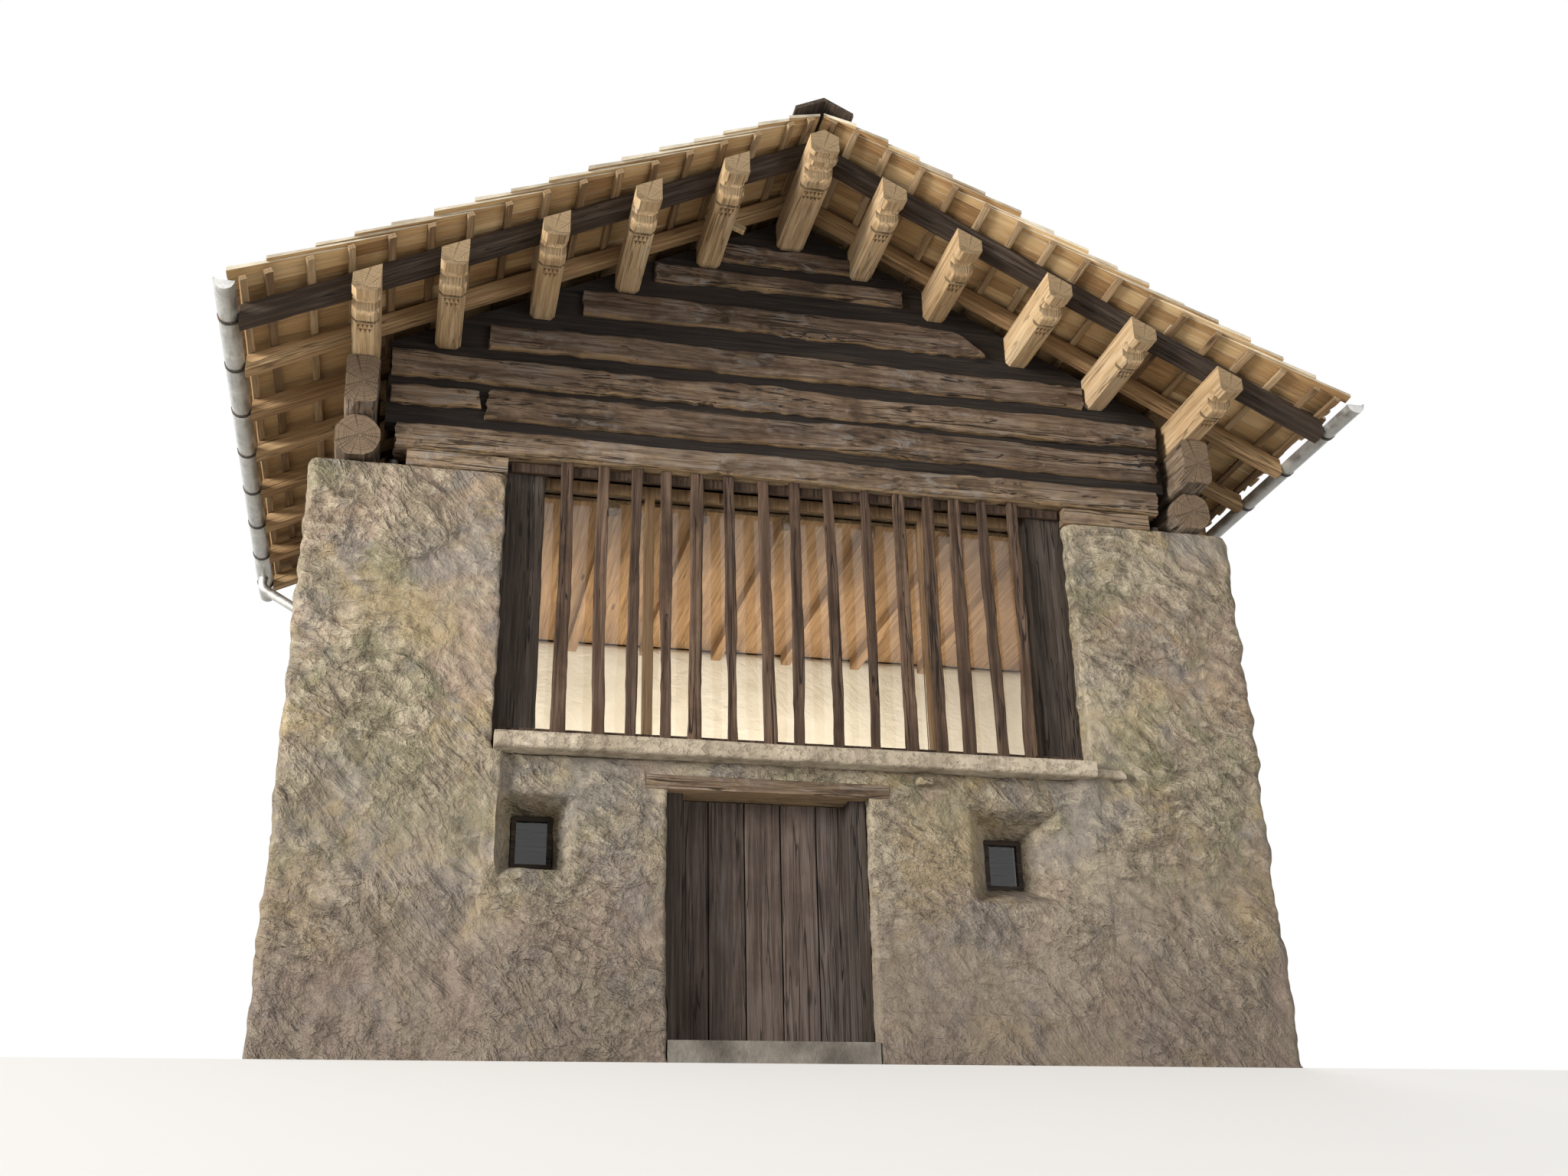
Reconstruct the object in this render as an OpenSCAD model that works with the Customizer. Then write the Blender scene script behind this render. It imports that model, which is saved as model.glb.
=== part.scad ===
// Stone and log granary barn: a rough-cast masonry ground storey, a loft
// closed by old timber slats between two corner piers, a gable of hewn
// logs, and a shingle roof on purlins with carved heads.
// Millimetres. X runs along the front, the front faces -Y, +Z is up.
// The origin is on the ground at the middle of the footprint.

/* [Masonry] */
// Width across the corner piers
wall_w = 6800; // [6700:10:7000]
// Depth of the footprint, front to back
wall_d = 3600; // [3500:10:4200]
// Thickness of the masonry walls
wall_t = 500; // [480:10:550]
// Height of the piers and side walls
pier_h = 3960; // [3900:10:4000]
// Width of each front pier
pier_w = 1340; // [1280:10:1360]
// How far the wall between the piers stands back from them
wall_back = 50; // [40:5:70]
// Rounding of the outer upright corners
corner_r = 60; // [30:5:90]
// Height of the projecting footing
plinth_h = 340; // [280:10:400]
// Projection of the footing beyond the wall
plinth_out = 35; // [20:5:40]

/* [Doorway] */
// Middle of the doorway, from the middle of the front
door_x = -240; // [-280:5:-200]
// Width of the doorway in the masonry
door_w = 1360; // [1300:10:1400]
// Height from the ground to the door lintel
door_h = 1755; // [1720:5:1780]
// Height of the timber lintel over the door
door_lintel_h = 90; // [80:5:100]
// Bearing of the lintel at each side
door_bearing = 150; // [120:10:180]
// Width of a door jamb
jamb_w = 110; // [95:5:130]
// Depth of a door jamb
jamb_d = 140; // [110:5:160]
// How far the jambs stand behind the wall face
jamb_back = 100; // [80:5:120]
// Height of the threshold stone
threshold_h = 150; // [120:5:170]
// Thickness of the door leaf
leaf_t = 50; // [40:2:56]
// How far the leaf laps behind each jamb
leaf_lap = 50; // [40:2:54]
// Running gap around the leaf
leaf_gap = 7; // [6:0.5:9]
// Radius of the hinge pins
pin_r = 8; // [6:0.5:10]

/* [Small windows] */
// Distance of the left window's middle from the left pier
left_window_in = 285; // [275:5:300]
// Width of the left window at the wall face
left_window_w = 480; // [430:10:500]
// Height of the left window at the wall face
left_window_h = 470; // [420:10:500]
// Height of the left window's ledge
left_window_z = 1200; // [1150:10:1230]
// Distance of the right window's middle from the right pier
right_window_in = 570; // [530:10:610]
// Width of the right window at the wall face
right_window_w = 640; // [580:10:680]
// Height of the right window at the wall face
right_window_h = 620; // [560:10:640]
// Height of the right window's ledge
right_window_z = 1090; // [1050:10:1130]
// Depth of the splayed recess
recess_d = 300; // [240:10:340]
// Width of the small opening behind each splay
hole_w = 270; // [240:5:300]
// Height of the small opening behind each splay
hole_h = 350; // [320:5:370]

/* [Loft front] */
// Height of the masonry over the door lintel
over_door_h = 100; // [85:5:120]
// Thickness of the mortar sill
sill_h = 121; // [110:1:125]
// Projection of the sill beyond the piers
sill_out = 85; // [60:5:110]
// Visible width of the two end posts
post_w = 265; // [230:5:290]
// Depth of the two end posts
post_d = 160; // [140:5:180]
// Width of a slat
slat_w = 88; // [70:2:100]
// Thickness of a slat
slat_t = 50; // [40:2:60]
// Height of the slat rails
slat_rail_h = 75; // [60:5:90]
// Bar width of the glazed frame
sash_w = 70; // [60:5:90]
// Depth of the glazed frame
sash_d = 70; // [60:5:90]
// Distance of each mullion from the middle
mullion_x = 1030; // [980:10:1080]
// Glass thickness
glass_t = 12; // [8:1:20]

/* [Gable] */
// Height of the bearing pads on the piers
pad_h = 130; // [110:5:150]
// Height of the lintel beam
lintel_h = 200; // [180:5:220]
// How far the gable logs stand out of the timber behind
log_out = 60; // [45:5:80]
// Thickness of the timber wall behind the logs
gable_t = 120; // [100:5:140]
// Diameter of the lower log on each side wall
side_log_d = 320; // [300:5:330]
// Width of the upper log on each side wall
upper_log_w = 230; // [200:5:250]
// Height of the two side logs together, up to the outer purlin
side_logs_h = 687; // [670:1:710]

/* [Roof] */
// Rise of the roof for each unit of run
roof_rise = 0.505; // [0.49:0.005:0.515]
// Spacing of the purlins
purlin_gap = 617; // [612:1:622]
// Width of a purlin
purlin_w = 180; // [160:5:190]
// Depth of a purlin at its middle
purlin_h = 210; // [190:5:230]
// Extra depth of the ridge purlin
ridge_extra = 80; // [60:5:90]
// Length of the carved heads in front of the wall
head_out = 930; // [900:10:980]
// Purlin overhang at the back
rear_out = 300; // [260:10:340]
// Distance of the saw kerf behind the nose of a head
kerf_back = 110; // [90:5:130]
// Radius of the hollow under a head
scoop_r = 62; // [54:1:66]
// Vertical thickness of a rafter
rafter_h = 130; // [120:5:140]
// Width of a rafter
rafter_w = 110; // [90:5:130]
// Spacing of the rafters, from the one just in front of the wall
rafter_gap = 620; // [600:5:630]
// How far the verge rafters stand in front of the wall
verge_at = 750; // [700:10:800]
// Width of a verge rafter
verge_w = 150; // [120:5:170]
// Vertical thickness of a batten
batten_h = 40; // [34:2:46]
// Width of a batten
batten_w = 50; // [40:2:60]
// Spacing of the shingle courses, measured level
course = 246; // [240:1:248]
// Shingle coat at the top of a course
coat_thin = 36; // [30:2:40]
// Shingle coat at the bottom of a course
coat_thick = 72; // [66:2:80]
// How far the shingles pass the purlin heads
verge_out = 110; // [80:5:140]
// How far the shingles pass the rafter ends
drip = 90; // [70:5:110]
// Thickness of the ridge boards
cap_t = 32; // [26:2:40]

/* [Gutters] */
// Outer radius of a gutter
gutter_r = 65; // [58:1:70]
// Gutter and pipe wall, thicker than real sheet
sheet_t = 4; // [3:0.5:6]
// Radius of the bead rolled on the gutter's outer rim
bead_r = 7; // [5:0.5:9]
// Drop of the gutter rim below the shingles
gutter_drop = 45; // [35:5:55]
// Thickness of the flat iron of a bracket
bracket_t = 6; // [4:0.5:8]
// Outer radius of a downpipe
pipe_r = 40; // [36:1:45]
// Turn of the two elbows of a downpipe, in degrees
elbow_turn = 60; // [50:5:70]
// Height of the foot of a downpipe
foot_z = 60; // [30:10:120]

/* [Hidden] */
$fn = 64;

// Clearance of round pieces in their seats, and of sloping faces laid on
// one another
fit = 0.3;
seat = 0.2;

// Masonry
half_w = wall_w / 2;
front = -wall_d / 2;
back = wall_d / 2;
inner_x = half_w - wall_t;
inner_front = front + wall_t;
inner_back = back - wall_t;
pier_in = half_w - pier_w;
wall_face = front + wall_back;
lintel_top = door_h + door_lintel_h;
sill_bottom = lintel_top + over_door_h;
sill_z = sill_bottom + sill_h;
slab_t = 60;
corbel = [120, 60];
corbel_x = 840;
corbel_drop = 95;
corbel_z = sill_bottom - corbel_drop;
sill_nose = 28;
sill_run = 250;

// Doorway
door_left = door_x - door_w / 2;
door_right = door_x + door_w / 2;
jamb_front = wall_face + jamb_back;
leaf_front = jamb_front + jamb_d + leaf_gap;
leaf_back = leaf_front + leaf_t;
leaf_left = door_left + jamb_w - leaf_lap;
leaf_right = door_right - jamb_w + leaf_lap;
leaf_low = threshold_h + leaf_gap + 1;
leaf_high = door_h - leaf_gap - 1;
ledge = [24, 120];
ledge_in = 90;
ledge_low = 200;
ledge_z = [leaf_low + ledge_low, leaf_high - ledge_low - ledge[1]];
strap_t = 6;
strap = [640, 40];
strap_off = 12;
strap_z = [ledge_z[0] + ledge[1] + strap_off, ledge_z[1] - strap[1] - strap_off];
eye_r = pin_r + strap_t;
eye_off = 4;
hinge_x = leaf_left - eye_r - eye_off;
hinge_y = leaf_back + strap_t / 2;
pintle_t = 12;

// Small windows
left_window_x = left_window_in - pier_in;
right_window_x = pier_in - right_window_in;
pane_bar = 32;
pane_t = 8;
pane_depth = 45;

// Floors
seat_d = 120;
seat_y = inner_front - seat_d;
joist_h = 120;
joist_w = 100;
joist_gap = 640;
joist_n = floor((inner_x - joist_w) / joist_gap);
pocket = 100;
floor_t = 40;
floor_z = lintel_top + joist_h;
ceiling_t = 30;
board_bearing = 20;
ceiling_joist = [80, 100];
bay_n = floor((pier_in - joist_w) / joist_gap);

// Loft front
beam_bottom = pier_h + pad_h;
beam_top = beam_bottom + lintel_h;
post_back = 150;
post_front = front + post_back;
rail_t = 40;
slat_back = post_front - rail_t;
slat_front = slat_back - slat_t;
rail_in = 20;
sash_y = post_front + post_d;
sash_out = pier_in - post_w;
sash_rail = sash_w + rail_in;
// Each slat stands a little off an even spacing
slat_jog = [0, 30, 15, 5, -30, -20, 5, -15, 15, 45, 70, 55, 25, 20, 0];
slat_n = len(slat_jog);
slat_side = 140;
slat_end = sash_out - slat_side;
slat_x = [for (i = [0:slat_n - 1]) slat_end * (2 * i / (slat_n - 1) - 1) + slat_jog[i]];

// Gable
beam_in = 10;
beam_front = front + beam_in;
beam_ends = [540 - half_w, half_w - 540];
beam_r = 60;
pad_in = 10;
pad_end = half_w - 640;
pad_front = front + 40;
pad_d = 200;
gable_face = beam_front + log_out;
side_log_in = 310;
side_log_x = half_w - side_log_in;
side_log_flat = 5;
side_log_top = pier_h + side_log_d - 2 * side_log_flat;
upper_log_top = pier_h + side_logs_h;
upper_log_chamfer = 55;
upper_log_in = 1;
upper_log_low = side_log_top - upper_log_in;
lower_log_out = 30;
upper_log_out = 200;
log_joint = 5;
gable_half = side_log_x - side_log_d / 2 - log_joint;
log_r = 45;
rear_log = 240;
rear_joint = 35;
rear_log_in = 10;
// Each gable log: its height over the lintel beam, its depth, and how far
// it stops short of the roof or the side logs on the left and on the right
gable_log = [
  [70, 250, 15, 25], [360, 230, 5, 5], [660, 220, 215, 145],
  [1030, 235, 105, 155], [1400, 185, 0, 170], [1635, 190, 35, 15]
];

// Roof
purlin_n = 5;
// How far each purlin lies off an even spacing, and how much longer its
// head is, from the left eave to the right one
purlin_jog = [0, -70, -30, -30, -30, 0, -60, -85, -45, -40, 0];
head_more = [0, 0, 0, 70, 100, 100, -40, -130, -80, -60, -80];
chamfer = 32;
ridge_wider = 15;
// Heights of the roof's layers, carried up to the middle of the ridge
purlin_line = upper_log_top + purlin_n * purlin_gap * roof_rise;
rafter_line = purlin_line + purlin_h;
batten_line = rafter_line + rafter_h;
coat_line = batten_line + batten_h;
cap_line = coat_line + coat_thick + seat;
courses = 16;
ridge_gap = 10;
eave_x = courses * course + ridge_gap;
rafter_end = eave_x - drip;
rafter_n = 7;
first_rafter = 20;
ridge_batten = 60;
batten_in = 30;
batten_ends = [25, 15];
cap_in = 30;
cap_over = 10;
rear_verge = 30;
head_front = front - head_out;
purlin_back = back + rear_out;
coat_front = head_front - verge_out;
coat_back = purlin_back + rear_verge;
fillet = [110, 40];
hollow_w = 90;
scoop_rise = 30;
nose_r = 56;
kerf = [30, 36];
peg = [95, 60, 45];
peg_at = 430;
peg_tilt = 22;

// Gutters
gutter_x = rafter_end + bracket_t + fit + gutter_r;
gutter_rim = coat_line - roof_rise * eave_x - gutter_drop;
gutter_over = [40, 30];
gutter_front = coat_front - gutter_over[0];
gutter_back = coat_back + gutter_over[1];
bracket_w = 28;
bend_r = 70;
pipe_stub = 50;
pipe_in = 160;
pipe_y = back - pipe_in;
pipe_out = 15;
pipe_x = half_w + pipe_r + pipe_out;
clip_z = [900, 2900];
clip_h = 30;

lamp = [34, 60];

wood_old = [0.36, 0.26, 0.18];
wood_dark = [0.24, 0.17, 0.12];
wood_pale = [0.72, 0.58, 0.40];
render_tone = [0.55, 0.50, 0.43];
iron = [0.22, 0.21, 0.20];
zinc = [0.78, 0.78, 0.76];

// Section in X and Z, run along Y
module along_y(y0, y1) {
  translate([0, y1, 0]) rotate([90, 0, 0]) linear_extrude(y1 - y0) children();
}

// Section in Y and Z, run along X
module along_x(x0, x1) {
  translate([x0, 0, 0]) rotate([90, 0, 90]) linear_extrude(x1 - x0) children();
}

module box(x0, x1, y0, y1, z0, z1) {
  translate([x0, y0, z0]) cube([x1 - x0, y1 - y0, z1 - z0]);
}

module both_sides() {
  children();
  mirror([1, 0, 0]) children();
}

// Plan of a pier: square, with its outer front corner rounded
module pier_plan() {
  difference() {
    translate([pier_in, front]) square([pier_w, wall_t]);
    translate([half_w - corner_r, front - 1]) square(corner_r + 1);
  }
  translate([half_w - corner_r, front + corner_r]) intersection() {
    circle(r = corner_r);
    translate([0, -corner_r]) square(corner_r);
  }
}

module pier() {
  difference() {
    linear_extrude(pier_h) pier_plan();
    joists();
  }
}

module pier_right() { color(render_tone) pier(); }
module pier_left() { color(render_tone) mirror([1, 0, 0]) pier(); }

// Wall between the piers, with a seat for the joists and a footing
module front_block(x0, x1) {
  box(x0, x1, wall_face, seat_y, 0, sill_bottom);
  box(x0, x1, seat_y - 1, inner_front, 0, lintel_top);
  box(x0, x1, wall_face - plinth_out, wall_face + 1, 0, plinth_h);
}

// Recess that narrows inwards in plan and in height, then a straight hole
module splay(x, w, z, h) {
  face = wall_face - 1;
  deep = wall_face + recess_d;
  low = z + (h - hole_h) / 2;
  intersection() {
    translate([0, 0, z - 1]) linear_extrude(h + 2) polygon([
      [x - w / 2, face], [x + w / 2, face], [x + hole_w / 2, deep], [x - hole_w / 2, deep]
    ]);
    along_x(x - w, x + w)
      polygon([[face, z], [deep, low], [deep, low + hole_h], [face, z + h]]);
  }
  box(x - hole_w / 2, x + hole_w / 2, deep - 1, inner_front + 1, low, low + hole_h);
}

module door_lintel_block() {
  box(door_left - door_bearing, door_right + door_bearing, wall_face, inner_front,
      door_h, lintel_top);
}

module front_wall_left() {
  color(render_tone) difference() {
    front_block(-pier_in, door_left);
    door_lintel_block();
    splay(left_window_x, left_window_w, left_window_z, left_window_h);
  }
}

module front_wall_right() {
  color(render_tone) difference() {
    union() {
      front_block(door_right, pier_in);
      box(corbel_x - corbel[0] / 2, corbel_x + corbel[0] / 2, wall_face - corbel[1],
          wall_face + 1, corbel_z, corbel_z + corbel[1]);
    }
    door_lintel_block();
    splay(right_window_x, right_window_w, right_window_z, right_window_h);
  }
}

module front_wall_over_door() {
  color(render_tone) box(door_left, door_right, wall_face, seat_y, lintel_top, sill_bottom);
}

module side_wall() { box(inner_x, half_w, inner_front, inner_back, 0, pier_h); }
module right_wall() { color(render_tone) side_wall(); }
module left_wall() { color(render_tone) mirror([1, 0, 0]) side_wall(); }

module rear_wall() {
  color(render_tone) difference() {
    box(-half_w, half_w, inner_back, back, 0, pier_h);
    joists();
  }
}

module ground_floor() {
  color([0.50, 0.48, 0.44]) box(-inner_x, inner_x, inner_front, inner_back, 0, slab_t);
}

// Sill with a rounded nose, run out a little over the right pier
module sill_ledge() {
  nose = sill_nose;
  tip = front - sill_out;
  color([0.68, 0.63, 0.55]) {
    along_x(-pier_in, pier_in) {
      translate([tip + nose, sill_bottom]) square([seat_y - tip - nose, sill_h]);
      translate([tip, sill_bottom + nose]) square([nose + 1, sill_h - 2 * nose]);
      for (z = [sill_bottom + nose, sill_z - nose]) translate([tip + nose, z]) circle(r = nose);
    }
    box(pier_in - 1, pier_in + sill_run, tip + nose, front, sill_bottom, sill_z - nose);
  }
}

module door_lintel() { color(wood_old) door_lintel_block(); }

module threshold() {
  color([0.45, 0.43, 0.40])
    box(door_left, door_right, wall_face - plinth_out, inner_front, 0, threshold_h);
}

module door_frame() {
  color(wood_old) for (x = [door_left, door_right - jamb_w])
    box(x, x + jamb_w, jamb_front, jamb_front + jamb_d, threshold_h, door_h);
}

// Ledged leaf: boards, with two ledges across the back
module door_leaf() {
  color([0.30, 0.22, 0.17]) {
    box(leaf_left, leaf_right, leaf_front, leaf_back, leaf_low, leaf_high);
    for (z = ledge_z)
      box(leaf_left + ledge_in, leaf_right - ledge_in, leaf_back - 1, leaf_back + ledge[0],
          z, z + ledge[1]);
  }
}

// Strap hinges on the back of the leaf, each with an eye for its pintle
module door_straps() {
  color(iron) for (z = strap_z) difference() {
    union() {
      translate([hinge_x, hinge_y, z]) cylinder(r = eye_r, h = strap[1]);
      box(hinge_x, hinge_x + strap[0], leaf_back, leaf_back + strap_t, z, z + strap[1]);
    }
    translate([hinge_x, hinge_y, z - 1]) cylinder(r = pin_r + fit, h = strap[1] + 2);
  }
}

// Pintles built into the masonry, each with an upright pin
module door_pintles() {
  color(iron) for (z = strap_z) {
    box(door_left, hinge_x, hinge_y - pin_r, hinge_y + pin_r, z - fit - pintle_t, z - fit);
    translate([hinge_x, hinge_y, z - fit - pintle_t])
      cylinder(r = pin_r, h = pintle_t + fit + strap[1] + pin_r);
  }
}

// Frame of a small window, set where its splay ends
module pane_frame(x, z, h) {
  y = wall_face + recess_d;
  low = z + (h - hole_h) / 2;
  difference() {
    box(x - hole_w / 2, x + hole_w / 2, y, y + pane_depth, low, low + hole_h);
    box(x - hole_w / 2 + pane_bar, x + hole_w / 2 - pane_bar, y - 1, y + pane_depth + 1,
        low + pane_bar, low + hole_h - pane_bar);
  }
}

module pane(x, z, h) {
  y = wall_face + recess_d + (pane_depth - pane_t) / 2;
  low = z + (h - hole_h) / 2 + pane_bar;
  box(x - hole_w / 2 + pane_bar, x + hole_w / 2 - pane_bar, y, y + pane_t,
      low, low + hole_h - 2 * pane_bar);
}

module small_window_frames() {
  color(wood_old) {
    pane_frame(left_window_x, left_window_z, left_window_h);
    pane_frame(right_window_x, right_window_z, right_window_h);
  }
}

module front_posts() {
  color(wood_dark) both_sides()
    box(sash_out, pier_in, post_front, post_front + post_d, sill_z, beam_bottom);
}

// Old slats, nailed to a rail at the top and one at the bottom
module slat_screen() {
  color(wood_old) {
    for (x = slat_x)
      box(x - slat_w / 2, x + slat_w / 2, slat_front, slat_back, sill_z, beam_bottom);
    for (z = [sill_z, beam_bottom - slat_rail_h])
      box(rail_in - pier_in, pier_in - rail_in, slat_back - 1, post_front, z, z + slat_rail_h);
  }
}

// The three lights of the glazed frame, from y0 to y1
module lights(y0, y1) {
  bar = mullion_x + sash_w / 2;
  clear = mullion_x - sash_w / 2;
  for (span = [[-sash_out, -bar], [-clear, clear], [bar, sash_out]])
    box(span[0], span[1], y0, y1, sill_z + sash_rail, beam_bottom - sash_rail);
}

module window_frame() {
  color([0.45, 0.30, 0.19]) difference() {
    box(-sash_out - sash_w, sash_out + sash_w, sash_y, sash_y + sash_d, sill_z, beam_bottom);
    lights(sash_y - 1, sash_y + sash_d + 1);
  }
}

module window_glass() {
  y = sash_y + (sash_d - glass_t) / 2;
  color([0.75, 0.85, 0.90, 0.35]) {
    lights(y, y + glass_t);
    pane(left_window_x, left_window_z, left_window_h);
    pane(right_window_x, right_window_z, right_window_h);
  }
}

module joists() {
  for (i = [-joist_n:joist_n])
    box(i * joist_gap - joist_w / 2, i * joist_gap + joist_w / 2, seat_y,
        inner_back + pocket, lintel_top, floor_z);
}

module upper_joists() { color(wood_old) joists(); }

module upper_floor() {
  color([0.55, 0.40, 0.26]) {
    box(-inner_x, inner_x, inner_front, inner_back, floor_z, floor_z + floor_t);
    box(-pier_in, pier_in, seat_y, inner_front + 1, floor_z, floor_z + floor_t);
  }
}

// Boards over the loft on the wall tops, and the beams under them
module ceiling() {
  y = sash_y + sash_d;
  color([0.50, 0.35, 0.22]) {
    box(-inner_x - board_bearing, inner_x + board_bearing, inner_front,
        inner_back + board_bearing, pier_h, pier_h + ceiling_t);
    box(-pier_in, pier_in, y, inner_front + 1, pier_h, pier_h + ceiling_t);
    for (i = [-bay_n:bay_n])
      box(i * joist_gap - ceiling_joist[0] / 2, i * joist_gap + ceiling_joist[0] / 2,
          y, inner_back, pier_h - ceiling_joist[1], pier_h + 1);
  }
}

module pier_pads() {
  color(wood_pale) both_sides()
    box(pier_in + pad_in, pad_end, pad_front, pad_front + pad_d, pier_h, beam_bottom);
}

// Section of a hewn log: square, with its upper front arris worn round
module worn_log(y0, y1, z0, z1, r) {
  translate([y0, z0]) square([y1 - y0, z1 - z0 - r]);
  translate([y0 + r, z0]) square([y1 - y0 - r, z1 - z0]);
  translate([y0 + r, z1 - r]) circle(r = r);
}

module lintel_beam() {
  color([0.52, 0.38, 0.24]) along_x(beam_ends[0], beam_ends[1])
    worn_log(beam_front, sash_y, beam_bottom, beam_top, beam_r);
}

// Outline of a gable under the rafters, between the side logs
module gable_outline(bottom) {
  top = rafter_line - seat;
  eave = top - roof_rise * gable_half;
  polygon([
    [-gable_half, bottom], [gable_half, bottom], [gable_half, eave], [0, top],
    [-gable_half, eave]
  ]);
}

module purlin_holes() {
  for (i = [-purlin_n:purlin_n])
    along_y(front - 100, back + 100) purlin_section(i, rafter_line + 1);
}

module front_gable_wall() {
  color(wood_dark) difference() {
    along_y(gable_face, gable_face + gable_t) gable_outline(beam_top);
    purlin_holes();
  }
}

module gable_log_solid(log) {
  low = beam_top + log[0];
  high = low + log[1];
  reach = min(gable_half, (rafter_line - high) / roof_rise);
  along_x(log[2] - reach, reach - log[3]) worn_log(beam_front, gable_face, low, high, log_r);
}

module front_gable_logs() {
  color(wood_old) difference() {
    intersection() {
      for (log = gable_log) gable_log_solid(log);
      along_y(beam_front, gable_face) gable_outline(beam_top);
    }
    purlin_holes();
  }
}

module rear_gable_wall() {
  y = back - log_out;
  n = ceil((rafter_line - pier_h) / rear_log);
  color(wood_old) difference() {
    union() {
      along_y(y - gable_t, y) gable_outline(pier_h);
      intersection() {
        along_y(y - 1, back - rear_log_in) gable_outline(pier_h);
        for (i = [0:n - 1])
          box(-half_w, half_w, y - 1, back, pier_h + i * rear_log,
              pier_h + (i + 1) * rear_log - rear_joint);
      }
    }
    purlin_holes();
  }
}

// Round log on the wall, and a squared one on it that carries a purlin
module wall_logs() {
  top = upper_log_top - seat;
  color(wood_old) {
    intersection() {
      along_y(front - lower_log_out, back + lower_log_out)
        translate([side_log_x, pier_h + side_log_d / 2 - side_log_flat])
          circle(d = side_log_d);
      box(0, half_w, front - 100, back + 100, pier_h, side_log_top);
    }
    along_y(front - upper_log_out, back + upper_log_out / 2) difference() {
      translate([side_log_x - upper_log_w / 2, upper_log_low])
        square([upper_log_w, top - upper_log_low]);
      for (s = [-1, 1], z = [upper_log_low, top])
        translate([side_log_x + s * upper_log_w / 2, z]) rotate(45)
          square(upper_log_chamfer, center = true);
    }
  }
}

module wall_logs_right() { wall_logs(); }
module wall_logs_left() { mirror([1, 0, 0]) wall_logs(); }

// Hewn section of purlin i: chamfered below, its top cut to the roof slope
module purlin_section(i, top = rafter_line - seat) {
  x = purlin_x(i);
  w = purlin_w / 2 + (i == 0 ? ridge_wider : 0);
  low = purlin_low(i);
  polygon([
    [x - w + chamfer, low], [x + w - chamfer, low], [x + w, low + chamfer],
    [x + w, top - abs(x + w) * roof_rise], each (i == 0 ? [[0, top]] : []),
    [x - w, top - abs(x - w) * roof_rise], [x - w, low + chamfer]
  ]);
}

function purlin_x(i) = i * purlin_gap + purlin_jog[purlin_n + i];
function purlin_low(i) = purlin_line - abs(purlin_x(i)) * roof_rise - (i == 0 ? ridge_extra : 0);
function head_y(i) = front - head_out - head_more[purlin_n + i];

// Side view of what is cut from under a head with its end at y: from there
// a fillet, a deep hollow, the front of a rounded nose, and a saw kerf
module head_cut(y, low, fillets) {
  hollow = y + fillet[0];
  nose = hollow + hollow_w;
  for (k = [1:fillets])
    translate([y - 1, low - 1]) square([fillet[0] / k + 2, k * fillet[1] + 1]);
  translate([hollow + hollow_w / 2, low + scoop_rise]) circle(r = scoop_r);
  difference() {
    translate([nose, low - 1]) square([nose_r, nose_r + 1]);
    translate([nose + nose_r, low + nose_r]) circle(r = nose_r);
  }
  translate([nose + kerf_back, low - 1]) square([kerf[0], kerf[1] + 1]);
}

module purlin(i) {
  x = purlin_x(i);
  difference() {
    along_y(head_y(i), purlin_back) purlin_section(i);
    along_x(x - purlin_w, x + purlin_w) head_cut(head_y(i), purlin_low(i), i == 0 ? 2 : 1);
  }
}

module ridge_purlin() { color(wood_pale) purlin(0); }
module purlins_right() { color(wood_pale) for (i = [1:purlin_n]) purlin(i); }

// The left purlins, with a peg through the one beside the ridge
module purlins_left() {
  color(wood_pale) {
    for (i = [1:purlin_n]) purlin(-i);
    translate([purlin_x(-1) + purlin_w / 2 - 2, front - peg_at, purlin_low(-1) + peg[2]])
      rotate([0, peg_tilt, 0]) cube(peg);
  }
}

// One rafter a side, cut plumb where the two meet
module rafter_pair(y, w) {
  top = batten_line - seat;
  both_sides() along_y(y, y + w) polygon([
    [fit, rafter_line - fit * roof_rise], [rafter_end, rafter_line - rafter_end * roof_rise],
    [rafter_end, top - rafter_end * roof_rise], [fit, top - fit * roof_rise]
  ]);
}

function rafter_y(i) = front - first_rafter - rafter_w + i * rafter_gap;

module verge_rafters() { color(wood_dark) rafter_pair(front - verge_at, verge_w); }
module rafters() {
  color([0.60, 0.42, 0.25]) for (i = [0:rafter_n - 1]) rafter_pair(rafter_y(i), rafter_w);
}

// A batten under the lower edge of each course, and one at the ridge
module battens() {
  xs = [ridge_batten, for (i = [1:courses - 1]) i * course - batten_in, rafter_end - batten_w];
  top = coat_line - seat;
  color([0.45, 0.32, 0.20]) both_sides() for (x = xs)
    along_y(coat_front + batten_ends[0], coat_back - batten_ends[1]) polygon([
      [x, batten_line - x * roof_rise], [x + batten_w, batten_line - (x + batten_w) * roof_rise],
      [x + batten_w, top - (x + batten_w) * roof_rise], [x, top - x * roof_rise]
    ]);
}

// Shingle coat in courses, each thicker at its lower edge
module coat() {
  steps = [for (i = [0:courses - 1], k = [0, 1])
    let (x = (i + k) * course + ridge_gap, t = i > 0 && k == 0 ? coat_thin : coat_thick)
    [x, coat_line + t - x * roof_rise]];
  along_y(coat_front, coat_back) polygon([
    [ridge_gap, coat_line - ridge_gap * roof_rise], each steps,
    [eave_x, coat_line - eave_x * roof_rise]
  ]);
}

module shingles_right() { color([0.50, 0.47, 0.42]) coat(); }
module shingles_left() { color([0.50, 0.47, 0.42]) mirror([1, 0, 0]) coat(); }

module ridge_cap() {
  w = course - cap_in;
  edge = cap_line - w * roof_rise;
  color([0.30, 0.25, 0.20]) along_y(coat_front - cap_over, coat_back + cap_over) polygon([
    [0, cap_line], [w, edge], [w, edge + cap_t], [0, cap_line + cap_t], [-w, edge + cap_t],
    [-w, edge]
  ]);
}

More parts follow.
